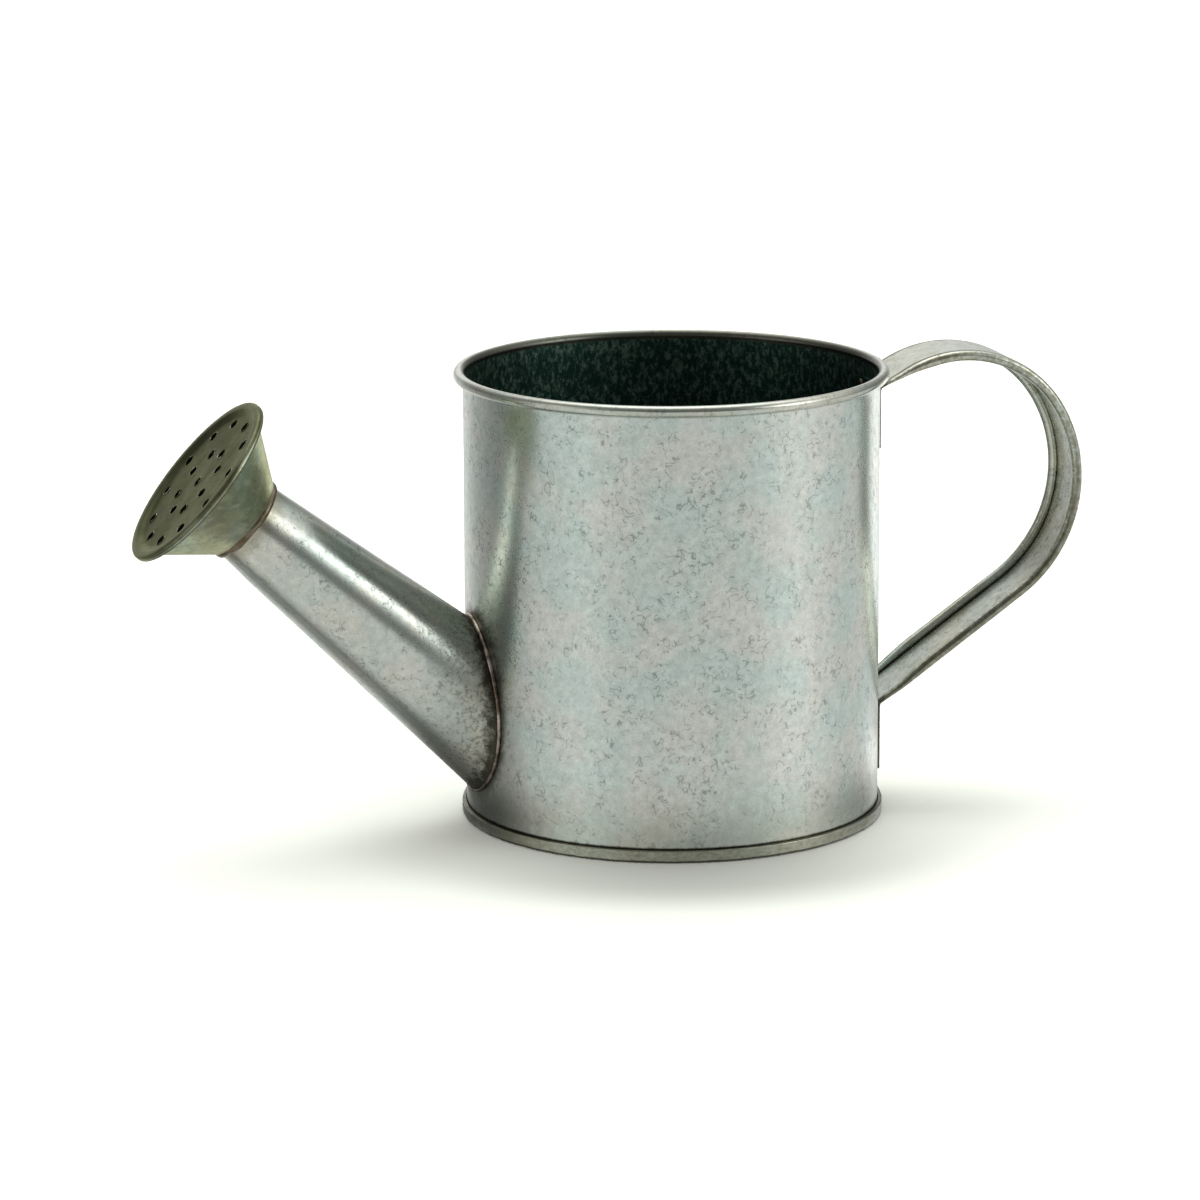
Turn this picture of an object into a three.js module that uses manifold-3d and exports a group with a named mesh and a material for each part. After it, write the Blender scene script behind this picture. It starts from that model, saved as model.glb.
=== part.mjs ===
// A small galvanised watering can, folded and soldered up from thin steel sheet.
// Millimetres, +Z up. The origin is on the can's axis, in the plane that the can stands on.
// The spout leans out towards -X, and the handle stands out towards +X.

import * as THREE from 'three';
import { mergeVertices } from 'three/addons/utils/BufferGeometryUtils.js';
import { ParametricGeometry } from 'three/addons/geometries/ParametricGeometry.js';
import Module from 'manifold-3d';

const wasm = await Module();
wasm.setup();

// ---- Driving dimensions ----

// The sheet that every piece is cut from, and the clearance between neighbouring pieces
const sheet = 0.5;
const gap = 0.3;

// The can's body
const wallOuterRadius = 50.7;
const canHeight = 110.7;
const rimBeadDiameter = 2.8;
const rimCurlTurn = 290;
const lapWidth = 5;

// The base, a pan whose edge is folded up round the foot of the wall
const seamHeight = 3.15;
const seamStandOff = 1.15;
const seamEdgeRadius = 0.4;
const baseFilletLeg = 1.5;

// The spout, a tapered tube: lengths run along its axis from where that meets the wall
const spoutRise = 40.8;
const spoutJointHeight = 31.5;
const spoutRootRadius = 16;
const spoutNeckRadius = 10.1;
const spoutNeckDistance = 73;
const spoutSeamWidth = 4.5;
const spoutSolderRadius = 0.65;

// The rose: a flared cone with a perforated face crimped over its mouth
const roseCollarLength = 0.6;
const roseDepth = 15.4;
const roseFlareRadius = 21.4;
const roseFlangeWidth = 1;
const roseLipTuck = 0.6;
const roseFaceRecess = 1;
const roseFaceSlopeWidth = 2.6;
const roseCrestWidth = 1.4;
const roseHoleDiameter = 2.2;
const roseHoleRings = [
  { radius: 0, count: 1 },
  { radius: 8.8, count: 8 },
  { radius: 17.3, count: 12 },
];
const roseHoleStart = -7.5;
const neckSolderLength = 1.4;

// The handle, a strap whose edges are rolled in towards the hand, and are hammered flat at the
// tabs, which leaves those thicker than the sheet
const strapWidth = 19.5;
const strapCurlRadius = 1.25;
const strapCurlTurn = 250;
const handleReach = 51.6;
const handleRise = 31;
const handleFall = 34.8;
const handleArcChange = 57.7;
const handleRiseLength = 5.5;
const upperBendDrop = 5.7;
const lowerBendHeight = 24.8;
const upperTabLength = 15.7;
const lowerTabLength = 16.2;
const tabThickness = 0.8;

// The spot welds that hold the handle's tabs, each seen as a button inside the can
const weldRadius = 1.4;
const weldHeight = 0.45;
const weldPitch = 9.5;
const weldInset = 2.2;

// Fineness of the round shapes
const bodySegments = 72;
const spoutSegments = 40;
const roseSegments = 48;

// ---- Sizes that follow from them ----

const wallInnerRadius = wallOuterRadius - sheet;
const wallFoot = sheet + gap;
const rimBeadRadius = rimBeadDiameter / 2;
const tabInnerRadius = wallOuterRadius + gap;
const tabFaceRadius = tabInnerRadius + tabThickness;
const upperBendHeight = canHeight - upperBendDrop;
const spoutTaper = (spoutRootRadius - spoutNeckRadius) / spoutNeckDistance;
const spoutLength = spoutNeckDistance + 2 * roseCollarLength;
const roseMouthDistance = spoutNeckDistance + roseDepth;
const roseCollarRadius = spoutNeckRadius + gap + sheet;
const roseFlareStart = spoutNeckDistance + roseCollarLength;
const roseFlareEnd = roseMouthDistance - sheet;
const roseSlope = (roseFlareRadius - roseCollarRadius) / (roseFlareEnd - roseFlareStart);
const roseFlangeRadius = roseFlareRadius + roseFlangeWidth;

// ---- Helpers ----

const radians = THREE.MathUtils.degToRad;

// Points along an arc, with angles in degrees measured from +x towards +y
function arcPoints(centreX, centreY, radius, startAngle, endAngle, steps) {
  const points = [];
  for (let i = 0; i <= steps; i += 1) {
    const angle = radians(startAngle + ((endAngle - startAngle) * i) / steps);
    points.push([centreX + radius * Math.cos(angle), centreY + radius * Math.sin(angle)]);
  }
  return points;
}

// Joins a geometry's shared corners, drops collapsed triangles and turns every face outwards
function closedGeometry(geometry) {
  const bare = geometry.clone();
  bare.deleteAttribute('normal');
  bare.deleteAttribute('uv');
  const merged = mergeVertices(bare, 1e-4);
  const position = merged.getAttribute('position');
  const corners = [new THREE.Vector3(), new THREE.Vector3(), new THREE.Vector3()];
  const triangles = [];
  let volume = 0;
  for (let i = 0; i < merged.index.count; i += 3) {
    const [a, b, c] = [0, 1, 2].map((k) => merged.index.getX(i + k));
    if (a === b || b === c || c === a) continue;
    triangles.push([a, b, c]);
    [a, b, c].forEach((vertex, k) => corners[k].fromBufferAttribute(position, vertex));
    volume += corners[0].dot(corners[1].clone().cross(corners[2]));
  }
  const outward = volume > 0 ? triangles : triangles.map(([a, b, c]) => [a, c, b]);
  const closed = new THREE.BufferGeometry();
  closed.setAttribute('position', position);
  closed.setIndex(outward.flat());
  closed.computeVertexNormals();
  return closed;
}

// A closed geometry as a solid that can be joined and cut
function toSolid(geometry) {
  const closed = closedGeometry(geometry);
  const vertProperties = new Float32Array(closed.getAttribute('position').array);
  const triVerts = new Uint32Array(closed.index.array);
  return new wasm.Manifold(new wasm.Mesh({ numProp: 3, vertProperties, triVerts }));
}

// A joined or cut solid as a geometry again
function toGeometry(solid) {
  const mesh = solid.getMesh();
  const geometry = new THREE.BufferGeometry();
  geometry.setAttribute('position', new THREE.BufferAttribute(mesh.vertProperties, 3));
  geometry.setIndex(new THREE.BufferAttribute(mesh.triVerts, 1));
  geometry.computeVertexNormals();
  return geometry;
}

// A profile of [radius, height] points turned about the Z axis
function turned(profile, segments) {
  const points = profile.map(([radius, height]) => new THREE.Vector2(radius, height));
  const geometry = new THREE.LatheGeometry(points, segments);
  geometry.rotateX(Math.PI / 2);
  return closedGeometry(geometry);
}

// A plain cylinder about the Z axis between two heights
function postBetween(radius, low, high, segments) {
  const geometry = new THREE.CylinderGeometry(radius, radius, high - low, segments);
  geometry.rotateX(Math.PI / 2);
  geometry.translate(0, 0, (low + high) / 2);
  return geometry;
}

// Sheet bent to a radius about the Z axis, as wide as given across +X, between two heights
function bentStrip(innerRadius, outerRadius, width, low, high) {
  const halfAngle = Math.asin(width / 2 / outerRadius);
  const shape = new THREE.Shape();
  shape.absarc(0, 0, outerRadius, -halfAngle, halfAngle, false);
  shape.absarc(0, 0, innerRadius, halfAngle, -halfAngle, true);
  const geometry = new THREE.ExtrudeGeometry(shape, {
    depth: high - low,
    bevelEnabled: false,
    curveSegments: 3,
  });
  geometry.translate(0, 0, low);
  return geometry;
}

// ---- Finishes ----

const galvanised = new THREE.MeshStandardMaterial({ color: 0xaeb5b2, roughness: 0.38, metalness: 1 });
const dullGalvanised = new THREE.MeshStandardMaterial({ color: 0x8b8c7c, roughness: 0.45, metalness: 1 });
const solder = new THREE.MeshStandardMaterial({ color: 0x85715f, roughness: 0.5, metalness: 1 });

function piece(name, geometry, material) {
  const mesh = new THREE.Mesh(geometry, material);
  mesh.name = name;
  return mesh;
}

// ---- The spout's own frame: +Z runs up the spout, +X is its upper side ----

const spoutGroup = new THREE.Group();
spoutGroup.position.set(-wallOuterRadius, 0, spoutJointHeight);
spoutGroup.rotation.y = radians(spoutRise - 90);
spoutGroup.updateMatrixWorld();
const intoSpoutFrame = spoutGroup.matrixWorld.clone().invert();

function spoutRadiusAt(distance) {
  return spoutRootRadius - spoutTaper * distance;
}

// Distance up the spout to where it meets a cylinder about the can's axis, at one angle
// round the spout, for the spout's surface moved outwards by the given amount
function spoutMeets(cylinderRadius, moved, angle) {
  const rise = radians(spoutRise);
  const rootRadius = spoutRootRadius + moved;
  const across = Math.cos(angle) * Math.sin(rise);
  const x0 = rootRadius * across - wallOuterRadius;
  const xSlope = -Math.cos(rise) - spoutTaper * across;
  const y0 = rootRadius * Math.sin(angle);
  const ySlope = -spoutTaper * Math.sin(angle);
  const a = xSlope ** 2 + ySlope ** 2;
  const b = x0 * xSlope + y0 * ySlope;
  const c = x0 ** 2 + y0 ** 2 - cylinderRadius ** 2;
  return (Math.sqrt(b ** 2 - a * c) - b) / a;
}

// The spout's lowest and highest meeting with the wall, and a stretch that passes both
const spoutHeel = spoutMeets(wallOuterRadius, 0, Math.PI);
const spoutTop = spoutMeets(wallOuterRadius, 0, 0);
const passLow = spoutHeel - 3 * sheet;
const passHigh = spoutTop + 3 * sheet;

// ---- The can's body ----

// The wall, with its rim curled outwards, its side lap behind the handle and the spout's hole
function bodyShell() {
  const beadCentre = wallInnerRadius + rimBeadRadius;
  const beadHeight = canHeight - rimBeadRadius;
  const curlEnd = 180 - rimCurlTurn;
  const profile = [
    [wallInnerRadius, wallFoot],
    ...arcPoints(beadCentre, beadHeight, rimBeadRadius, 180, curlEnd, 10),
    ...arcPoints(beadCentre, beadHeight, rimBeadRadius - sheet, curlEnd, 180, 8),
    [wallOuterRadius, wallFoot],
    [wallInnerRadius, wallFoot],
  ];
  const lapFoot = wallFoot + baseFilletLeg + gap;
  const lapTop = canHeight - 2 * rimBeadDiameter;
  const lap = bentStrip(wallInnerRadius - sheet, wallInnerRadius + sheet / 2, lapWidth, lapFoot, lapTop);
  const hole = turned([
    [0, passLow],
    [spoutRadiusAt(passLow) - sheet, passLow],
    [spoutRadiusAt(passHigh) - sheet, passHigh],
    [0, passHigh],
  ], spoutSegments);
  hole.applyMatrix4(spoutGroup.matrixWorld);
  const wall = toSolid(turned(profile, bodySegments));
  return toGeometry(wall.add(toSolid(lap)).subtract(toSolid(hole)));
}

// The base: a flat disc with its edge turned up and folded in over the foot of the wall
function basePan() {
  const outer = wallOuterRadius + seamStandOff;
  const foldInner = wallOuterRadius + gap;
  const round = seamEdgeRadius;
  return turned([
    [0, 0],
    ...arcPoints(outer - round, round, round, -90, 0, 2),
    ...arcPoints(outer - round, seamHeight - round, round, 0, 90, 2),
    [foldInner, seamHeight],
    [foldInner, seamHeight - sheet],
    [outer - sheet, seamHeight - sheet],
    [outer - sheet, sheet],
    [0, sheet],
  ], bodySegments);
}

// Solder run round the inside corner of the base, which makes the folded seam hold water
function baseSolder() {
  const corner = wallInnerRadius - gap;
  const floor = sheet + gap;
  return turned([
    [corner, floor],
    [corner, floor + baseFilletLeg],
    [corner - baseFilletLeg, floor],
    [corner, floor],
  ], bodySegments);
}

// ---- The spout ----

// The tube, rolled from sheet, lapped inside along its underside and cut to sit on the wall
function spoutTube() {
  const tube = toSolid(turned([
    [spoutRadiusAt(passLow) - sheet, passLow],
    [spoutRadiusAt(spoutLength) - sheet, spoutLength],
    [spoutRadiusAt(spoutLength), spoutLength],
    [spoutRadiusAt(passLow), passLow],
    [spoutRadiusAt(passLow) - sheet, passLow],
  ], spoutSegments));
  const seamMiddle = (spoutHeel + spoutNeckDistance) / 2;
  const seam = new THREE.BoxGeometry(2 * sheet, spoutSeamWidth, spoutNeckDistance - spoutHeel);
  seam.rotateY(Math.atan(spoutTaper));
  seam.translate(1.6 * sheet - spoutRadiusAt(seamMiddle), 0, seamMiddle);
  const body = postBetween(wallOuterRadius + gap, -canHeight, 2 * canHeight, bodySegments);
  body.applyMatrix4(intoSpoutFrame);
  return toGeometry(tube.add(toSolid(seam)).subtract(toSolid(body)));
}

// The bead of solder round the foot of the spout, just clear of both the tube and the wall
function spoutSolder() {
  const clear = spoutSolderRadius + gap;
  const centreAt = (angle) => {
    const distance = spoutMeets(wallOuterRadius + clear, clear, angle);
    const radius = spoutRadiusAt(distance) + clear;
    return new THREE.Vector3(radius * Math.cos(angle), radius * Math.sin(angle), distance);
  };
  const around = (u, v, target) => {
    const angle = 2 * Math.PI * u;
    const turn = 2 * Math.PI * v;
    const centre = centreAt(angle);
    const along = centreAt(angle + 0.01).sub(centreAt(angle - 0.01)).normalize();
    const outward = new THREE.Vector3(Math.cos(angle), Math.sin(angle), 0);
    outward.addScaledVector(along, -outward.dot(along)).normalize();
    const beside = along.clone().cross(outward);
    target.copy(centre);
    target.addScaledVector(outward, spoutSolderRadius * Math.cos(turn));
    target.addScaledVector(beside, spoutSolderRadius * Math.sin(turn));
  };
  return closedGeometry(new ParametricGeometry(around, 48, 8));
}

// ---- The rose ----

// The cone: a short collar round the end of the spout, a straight flare, and a flange at the
// mouth that the face is crimped over
function roseCone() {
  const wallAcross = sheet * Math.hypot(1, roseSlope);
  const innerStart = roseFlareStart + (wallAcross - sheet) / roseSlope;
  const innerEnd = roseFlareRadius - wallAcross + sheet * roseSlope;
  return turned([
    [roseCollarRadius - sheet, spoutNeckDistance],
    [roseCollarRadius, spoutNeckDistance],
    [roseCollarRadius, roseFlareStart],
    [roseFlareRadius, roseFlareEnd],
    [roseFlangeRadius, roseFlareEnd],
    [roseFlangeRadius, roseMouthDistance],
    [innerEnd, roseMouthDistance],
    [roseCollarRadius - sheet, innerStart],
    [roseCollarRadius - sheet, spoutNeckDistance],
  ], roseSegments);
}

// The face: a disc sunk inside a rounded crest, its lip tucked in behind the cone's flange
function roseFace() {
  const crest = roseMouthDistance + gap + sheet;
  const flat = crest - roseFaceRecess;
  const lipInner = roseFlangeRadius + gap;
  const lipOuter = lipInner + sheet;
  const lipEnd = roseFlareEnd - roseLipTuck;
  const crestRadius = lipInner - roseCrestWidth;
  const flatRadius = crestRadius - roseFaceSlopeWidth;
  const dish = turned([
    [0, flat],
    [flatRadius, flat],
    [crestRadius, crest],
    ...arcPoints(lipInner, crest - sheet, sheet, 90, 0, 3),
    [lipOuter, roseFlareEnd],
    [lipOuter - roseLipTuck, lipEnd],
    [lipInner - roseLipTuck, lipEnd],
    [lipInner, roseFlareEnd],
    [lipInner, crest - sheet],
    [crestRadius, crest - sheet],
    [flatRadius, flat - sheet],
    [0, flat - sheet],
  ], roseSegments);
  let solid = toSolid(dish);
  for (const ring of roseHoleRings) {
    for (let i = 0; i < ring.count; i += 1) {
      const angle = radians(roseHoleStart - 90 + (360 * i) / ring.count);
      const hole = postBetween(roseHoleDiameter / 2, flat - 2 * sheet, flat + sheet, 10);
      hole.translate(ring.radius * Math.cos(angle), ring.radius * Math.sin(angle), 0);
      solid = solid.subtract(toSolid(hole));
    }
  }
  return toGeometry(solid);
}

// A fillet of solder that runs up from the tube to the end of the rose's collar
function neckSolder() {
  const end = spoutNeckDistance - gap;
  const start = end - neckSolderLength;
  const middleRadius = (spoutRadiusAt(start) + gap + 2 * roseCollarRadius) / 3;
  return turned([
    [spoutRadiusAt(start) + gap, start],
    [spoutRadiusAt(end) + gap, end],
    [roseCollarRadius, end],
    [middleRadius, end - neckSolderLength / 2],
    [spoutRadiusAt(start) + gap, start],
  ], roseSegments);
}

// ---- The handle ----

// The strap's section: x runs across it, and y from its outer face towards the hand
function strapSection() {
  const curlCentre = strapWidth / 2 - strapCurlRadius;
  const inside = strapCurlRadius - sheet;
  const turn = radians(strapCurlTurn);
  const down = -Math.PI / 2;
  const shape = new THREE.Shape();
  shape.absarc(curlCentre, strapCurlRadius, strapCurlRadius, down, down + turn, false);
  shape.absarc(curlCentre, strapCurlRadius, inside, down + turn, down, true);
  shape.absarc(-curlCentre, strapCurlRadius, inside, down, down - turn, true);
  shape.absarc(-curlCentre, strapCurlRadius, strapCurlRadius, down - turn, down, false);
  return shape;
}

// How far a clockwise arc of radius 1 carries a line from one heading to another
function arcTravel(startHeading, endHeading) {
  const x = Math.sin(startHeading) - Math.sin(endHeading);
  const z = Math.cos(endHeading) - Math.cos(startHeading);
  return { x, z };
}

// The line of the strap's outer face: straight up off the wall, over the top arc, round the
// grip arc and straight back down to the wall. Both radii and the lower straight follow from
// the two bends on the wall, the reach and the headings.
function handleLine() {
  const rise = radians(handleRise);
  const change = radians(-handleArcChange);
  const fall = radians(handleFall - 180);
  const top = arcTravel(rise, change);
  const grip = arcTravel(change, fall);
  const gripToFarthest = arcTravel(change, -Math.PI / 2);
  const startX = handleRiseLength * Math.cos(rise);
  const startZ = handleRiseLength * Math.sin(rise);
  const closing = new THREE.Matrix3().set(
    top.x, gripToFarthest.x, 0,
    top.x, grip.x, Math.cos(fall),
    top.z, grip.z, Math.sin(fall),
  );
  const wanted = new THREE.Vector3(
    handleReach - startX,
    -startX,
    lowerBendHeight - upperBendHeight - startZ,
  );
  const { x: topRadius, y: gripRadius, z: fallLength } = wanted.applyMatrix3(closing.invert());

  const intoWall = 4 * sheet;
  const x0 = tabFaceRadius + startX;
  const z0 = upperBendHeight + startZ;
  const topX = x0 + topRadius * Math.sin(rise);
  const topZ = z0 - topRadius * Math.cos(rise);
  const shift = topRadius - gripRadius;
  const gripX = topX - shift * Math.sin(change);
  const gripZ = topZ + shift * Math.cos(change);
  const quarter = Math.PI / 2;
  const endLength = fallLength + intoWall;
  const line = new THREE.Path();
  line.moveTo(tabFaceRadius - intoWall * Math.cos(rise), upperBendHeight - intoWall * Math.sin(rise));
  line.lineTo(x0, z0);
  line.absarc(topX, topZ, topRadius, rise + quarter, change + quarter, true);
  line.absarc(gripX, gripZ, gripRadius, change + quarter, fall + quarter, true);
  line.lineTo(
    gripX - gripRadius * Math.sin(fall) + endLength * Math.cos(fall),
    gripZ + gripRadius * Math.cos(fall) + endLength * Math.sin(fall),
  );
  return line;
}

// A flat path stood upright in the XZ plane
class UprightCurve extends THREE.Curve {
  constructor(path) {
    super();
    this.path = path;
  }

  getPoint(t, target = new THREE.Vector3()) {
    const point = this.path.getPoint(t);
    return target.set(point.x, 0, point.y);
  }
}

// The strap with its rolled edges, and a plain tab at each end that lies on the wall
function handleStrap() {
  const strap = new THREE.ExtrudeGeometry(strapSection(), {
    steps: 44,
    curveSegments: 3,
    extrudePath: new UprightCurve(handleLine()),
  });
  const upperTab = bentStrip(
    tabInnerRadius, tabFaceRadius, strapWidth, upperBendHeight - upperTabLength, upperBendHeight,
  );
  const lowerTab = bentStrip(
    tabInnerRadius, tabFaceRadius, strapWidth, lowerBendHeight - lowerTabLength, lowerBendHeight,
  );
  const body = postBetween(tabInnerRadius, 0, canHeight, bodySegments);
  const joined = toSolid(strap).add(toSolid(upperTab)).add(toSolid(lowerTab));
  return toGeometry(joined.subtract(toSolid(body)));
}

// A spot weld's low round button, standing on the inside of the wall and facing the can's axis
function weldButton(name, side, height) {
  const geometry = turned([
    [0, 0],
    [weldRadius, 0],
    [0.8 * weldRadius, 0.6 * weldHeight],
    [0.4 * weldRadius, weldHeight],
    [0, weldHeight],
  ], 10);
  const button = piece(name, geometry, solder);
  const angle = (side * weldPitch) / 2 / wallInnerRadius;
  const radius = wallInnerRadius - gap;
  button.position.set(radius * Math.cos(angle), radius * Math.sin(angle), height);
  button.rotation.set(0, -Math.PI / 2, angle, 'ZYX');
  return button;
}

// ---- The assembly ----

const group = new THREE.Group();
group.add(piece('body_shell', bodyShell(), galvanised));
group.add(piece('base_pan', basePan(), galvanised));
group.add(piece('base_solder', baseSolder(), solder));

spoutGroup.add(piece('spout_tube', spoutTube(), galvanised));
spoutGroup.add(piece('spout_solder', spoutSolder(), solder));
spoutGroup.add(piece('rose_cone', roseCone(), dullGalvanised));
spoutGroup.add(piece('rose_face', roseFace(), dullGalvanised));
spoutGroup.add(piece('neck_solder', neckSolder(), solder));
group.add(spoutGroup);

group.add(piece('handle_strap', handleStrap(), galvanised));
const upperWeldHeight = upperBendHeight - weldInset;
const lowerWeldHeight = lowerBendHeight - lowerTabLength / 2;
group.add(weldButton('upper_weld_left', -1, upperWeldHeight));
group.add(weldButton('upper_weld_right', 1, upperWeldHeight));
group.add(weldButton('lower_weld_left', -1, lowerWeldHeight));
group.add(weldButton('lower_weld_right', 1, lowerWeldHeight));

export default group;
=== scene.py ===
# %% [markdown]
# # A small galvanised watering can
#
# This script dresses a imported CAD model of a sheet-metal watering can. The CAD pieces fix every
# size and place. Here each piece gets its fine shape and its finish: thin galvanised sheet with
# a mottled zinc skin, tarnished solder, and the rolled and folded edges of sheet-metal work.
#
# The first cell loads the frame. Everything after it is in metres, in the frame's own axes:
# +Z is up, the spout leans out towards -X and the handle stands out towards +X.

# %% Load the frame
import math

import bmesh
import bpy
import numpy as np
from mathutils import Matrix, Vector, noise


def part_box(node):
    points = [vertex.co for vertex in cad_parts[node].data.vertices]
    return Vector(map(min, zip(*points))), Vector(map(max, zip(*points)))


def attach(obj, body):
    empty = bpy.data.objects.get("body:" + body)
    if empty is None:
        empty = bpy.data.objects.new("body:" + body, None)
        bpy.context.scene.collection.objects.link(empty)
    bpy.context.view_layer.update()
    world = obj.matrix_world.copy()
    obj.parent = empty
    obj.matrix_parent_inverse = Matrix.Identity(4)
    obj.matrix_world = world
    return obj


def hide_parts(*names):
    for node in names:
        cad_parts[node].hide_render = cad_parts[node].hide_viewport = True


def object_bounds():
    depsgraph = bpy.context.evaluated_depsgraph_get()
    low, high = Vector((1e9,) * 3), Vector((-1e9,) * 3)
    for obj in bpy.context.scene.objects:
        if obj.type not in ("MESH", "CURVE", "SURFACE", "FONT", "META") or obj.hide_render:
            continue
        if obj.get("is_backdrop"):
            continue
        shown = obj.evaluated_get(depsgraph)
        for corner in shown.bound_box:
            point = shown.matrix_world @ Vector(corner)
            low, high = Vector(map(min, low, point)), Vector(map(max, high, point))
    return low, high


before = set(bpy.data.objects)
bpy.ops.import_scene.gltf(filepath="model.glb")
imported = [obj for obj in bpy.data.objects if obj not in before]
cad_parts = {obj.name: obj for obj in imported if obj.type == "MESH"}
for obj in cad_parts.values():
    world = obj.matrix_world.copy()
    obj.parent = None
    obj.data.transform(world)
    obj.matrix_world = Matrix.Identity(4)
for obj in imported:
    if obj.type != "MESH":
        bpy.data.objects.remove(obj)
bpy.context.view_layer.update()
MM = 0.001
print("frame nodes:", sorted(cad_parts))

# %% [markdown]
# ## Camera
#
# A product picture is taken from well back with a long lens, so that round shapes keep their
# proportions. The camera looks down a little, from the spout's side, so that the face of the
# rose shows. It aims at a point near the middle of the can, given as how far along the view's
# own right-hand direction and how high it lies from the foot of the can's axis.

# %% Camera
VIEW_TURN = math.radians(15.5)
VIEW_RISE = math.radians(12.92)
VIEW_ROLL = math.radians(-0.28)
VIEW_DISTANCE = 1.2799
AIM_RIGHT = -0.01758
AIM_HEIGHT = 0.05261
LENS_MM = 156.55

view_right = Vector((math.cos(VIEW_TURN), -math.sin(VIEW_TURN), 0))
view_away = Vector((math.sin(VIEW_TURN), math.cos(VIEW_TURN), 0))
aim = view_right * AIM_RIGHT + Vector((0, 0, AIM_HEIGHT))
eye = aim - view_away * VIEW_DISTANCE * math.cos(VIEW_RISE)
eye.z += VIEW_DISTANCE * math.sin(VIEW_RISE)

def add_object(name, data):
    added = bpy.data.objects.new(name, data)
    bpy.context.scene.collection.objects.link(added)
    return added


camera_data = bpy.data.cameras.new("camera")
camera_data.lens = LENS_MM
camera_data.sensor_width = 36
camera = add_object("camera", camera_data)
look = (aim - eye).to_track_quat("-Z", "Y").to_matrix().to_4x4()
camera.matrix_world = Matrix.Translation(eye) @ look @ Matrix.Rotation(VIEW_ROLL, 4, "Z")
bpy.context.scene.camera = camera
print("camera at", [round(v, 3) for v in eye])

# %% [markdown]
# ## Sizes that the pieces share
#
# The CAD model is made from a few driving sizes. The ones that a fine shape needs are repeated
# here in metres. They could be read back from the meshes, but a curl or a taper is easier to
# follow when its radius has a name. The last lines compare them with the frame's own boxes, so
# that a change in the CAD model shows up as a number here.

# %% Shared sizes
SHEET = 0.5 * MM
WALL_R = 50.7 * MM
WALL_INNER_R = WALL_R - SHEET
CAN_HEIGHT = 110.7 * MM
RIM_BEAD_R = 1.4 * MM
SEAM_R = WALL_R + 1.15 * MM
SEAM_TOP = 3.15 * MM
SPOUT_RISE = math.radians(40.8)
SPOUT_JOINT_Z = 31.5 * MM
SPOUT_ROOT_R = 16 * MM
SPOUT_NECK_R = 10.1 * MM
SPOUT_NECK = 73 * MM
SPOUT_TAPER = (SPOUT_ROOT_R - SPOUT_NECK_R) / SPOUT_NECK
ROSE_COLLAR_R = 10.9 * MM
ROSE_MOUTH = 88.4 * MM
ROSE_FLARE_R = 21.4 * MM
ROSE_LIP_R = 23.2 * MM

can_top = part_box("body_shell")[1][2]
rim_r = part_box("body_shell")[1][1]
print("can height:", round(can_top / MM, 2), "against", CAN_HEIGHT / MM)
print("rim outer radius:", round(rim_r / MM, 2), "against", (WALL_INNER_R + 2 * RIM_BEAD_R) / MM)

# %% The spout's own frame
spout_turn = Matrix.Rotation(SPOUT_RISE - math.pi / 2, 4, "Y")
spout_frame = Matrix.Translation((-WALL_R, 0, SPOUT_JOINT_Z)) @ spout_turn
spout_axis = spout_frame.to_3x3() @ Vector((0, 0, 1))


def spout_r(distance):
    return SPOUT_ROOT_R - SPOUT_TAPER * distance


def spout_meets(cylinder_r, moved, angle):
    """How far up the spout its surface, moved outwards, meets a cylinder about the can's axis."""
    root = SPOUT_ROOT_R + moved
    across = math.cos(angle) * math.sin(SPOUT_RISE)
    x0 = root * across - WALL_R
    x1 = -math.cos(SPOUT_RISE) - SPOUT_TAPER * across
    y0 = root * math.sin(angle)
    y1 = -SPOUT_TAPER * math.sin(angle)
    a = x1 * x1 + y1 * y1
    b = x0 * x1 + y0 * y1
    c = x0 * x0 + y0 * y0 - cylinder_r * cylinder_r
    return (math.sqrt(b * b - a * c) - b) / a


def in_spout_frame(points):
    turn = np.array(spout_frame.to_3x3())
    return points @ turn.T + np.array(spout_frame.translation)


print("spout axis:", [round(v, 3) for v in spout_axis])

# %% [markdown]
# ## Helpers for shapes
#
# Nearly every piece of this can is sheet turned about an axis, so one helper makes a closed
# ring-shaped skin from a closed profile. Working in plain arrays keeps each ring's place known,
# which a modifier stack would hide, and lets a small unevenness be added point by point. Hand
# work shows in metal as slight waves in its reflections, so a gentle noise moves the points by
# a few hundredths of a millimetre. The piece helper merges the seams and poles, turns all faces
# outwards, shades the skin smooth with crisp folds, and ties the piece to the frame.

# %% Shape helpers
def arc(centre_r, centre_z, radius, start, end, steps):
    """Points of an arc in a profile, with angles in degrees from +r towards +z."""
    angles = np.radians(np.linspace(start, end, steps + 1))
    return [(centre_r + radius * math.cos(a), centre_z + radius * math.sin(a)) for a in angles]


def run(start, end, steps):
    """Evenly spaced points between two profile points, without the last one."""
    parts = np.linspace(0, 1, steps, endpoint=False)
    return [tuple(np.array(start) * (1 - t) + np.array(end) * t) for t in parts]


def ring_skin(profile, segments):
    """A closed profile of (r, z) points turned about Z, as points and four-cornered faces."""
    angles = np.linspace(0, 2 * math.pi, segments, endpoint=False)
    rows = np.array(profile)
    points = np.zeros((len(rows), segments, 3))
    points[:, :, 0] = rows[:, :1] * np.cos(angles)
    points[:, :, 1] = rows[:, :1] * np.sin(angles)
    points[:, :, 2] = rows[:, 1:]
    on_axis = rows[0, 0] < 1e-8 and rows[-1, 0] < 1e-8
    return points.reshape(-1, 3), grid_faces(len(rows), segments, not on_axis)


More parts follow.
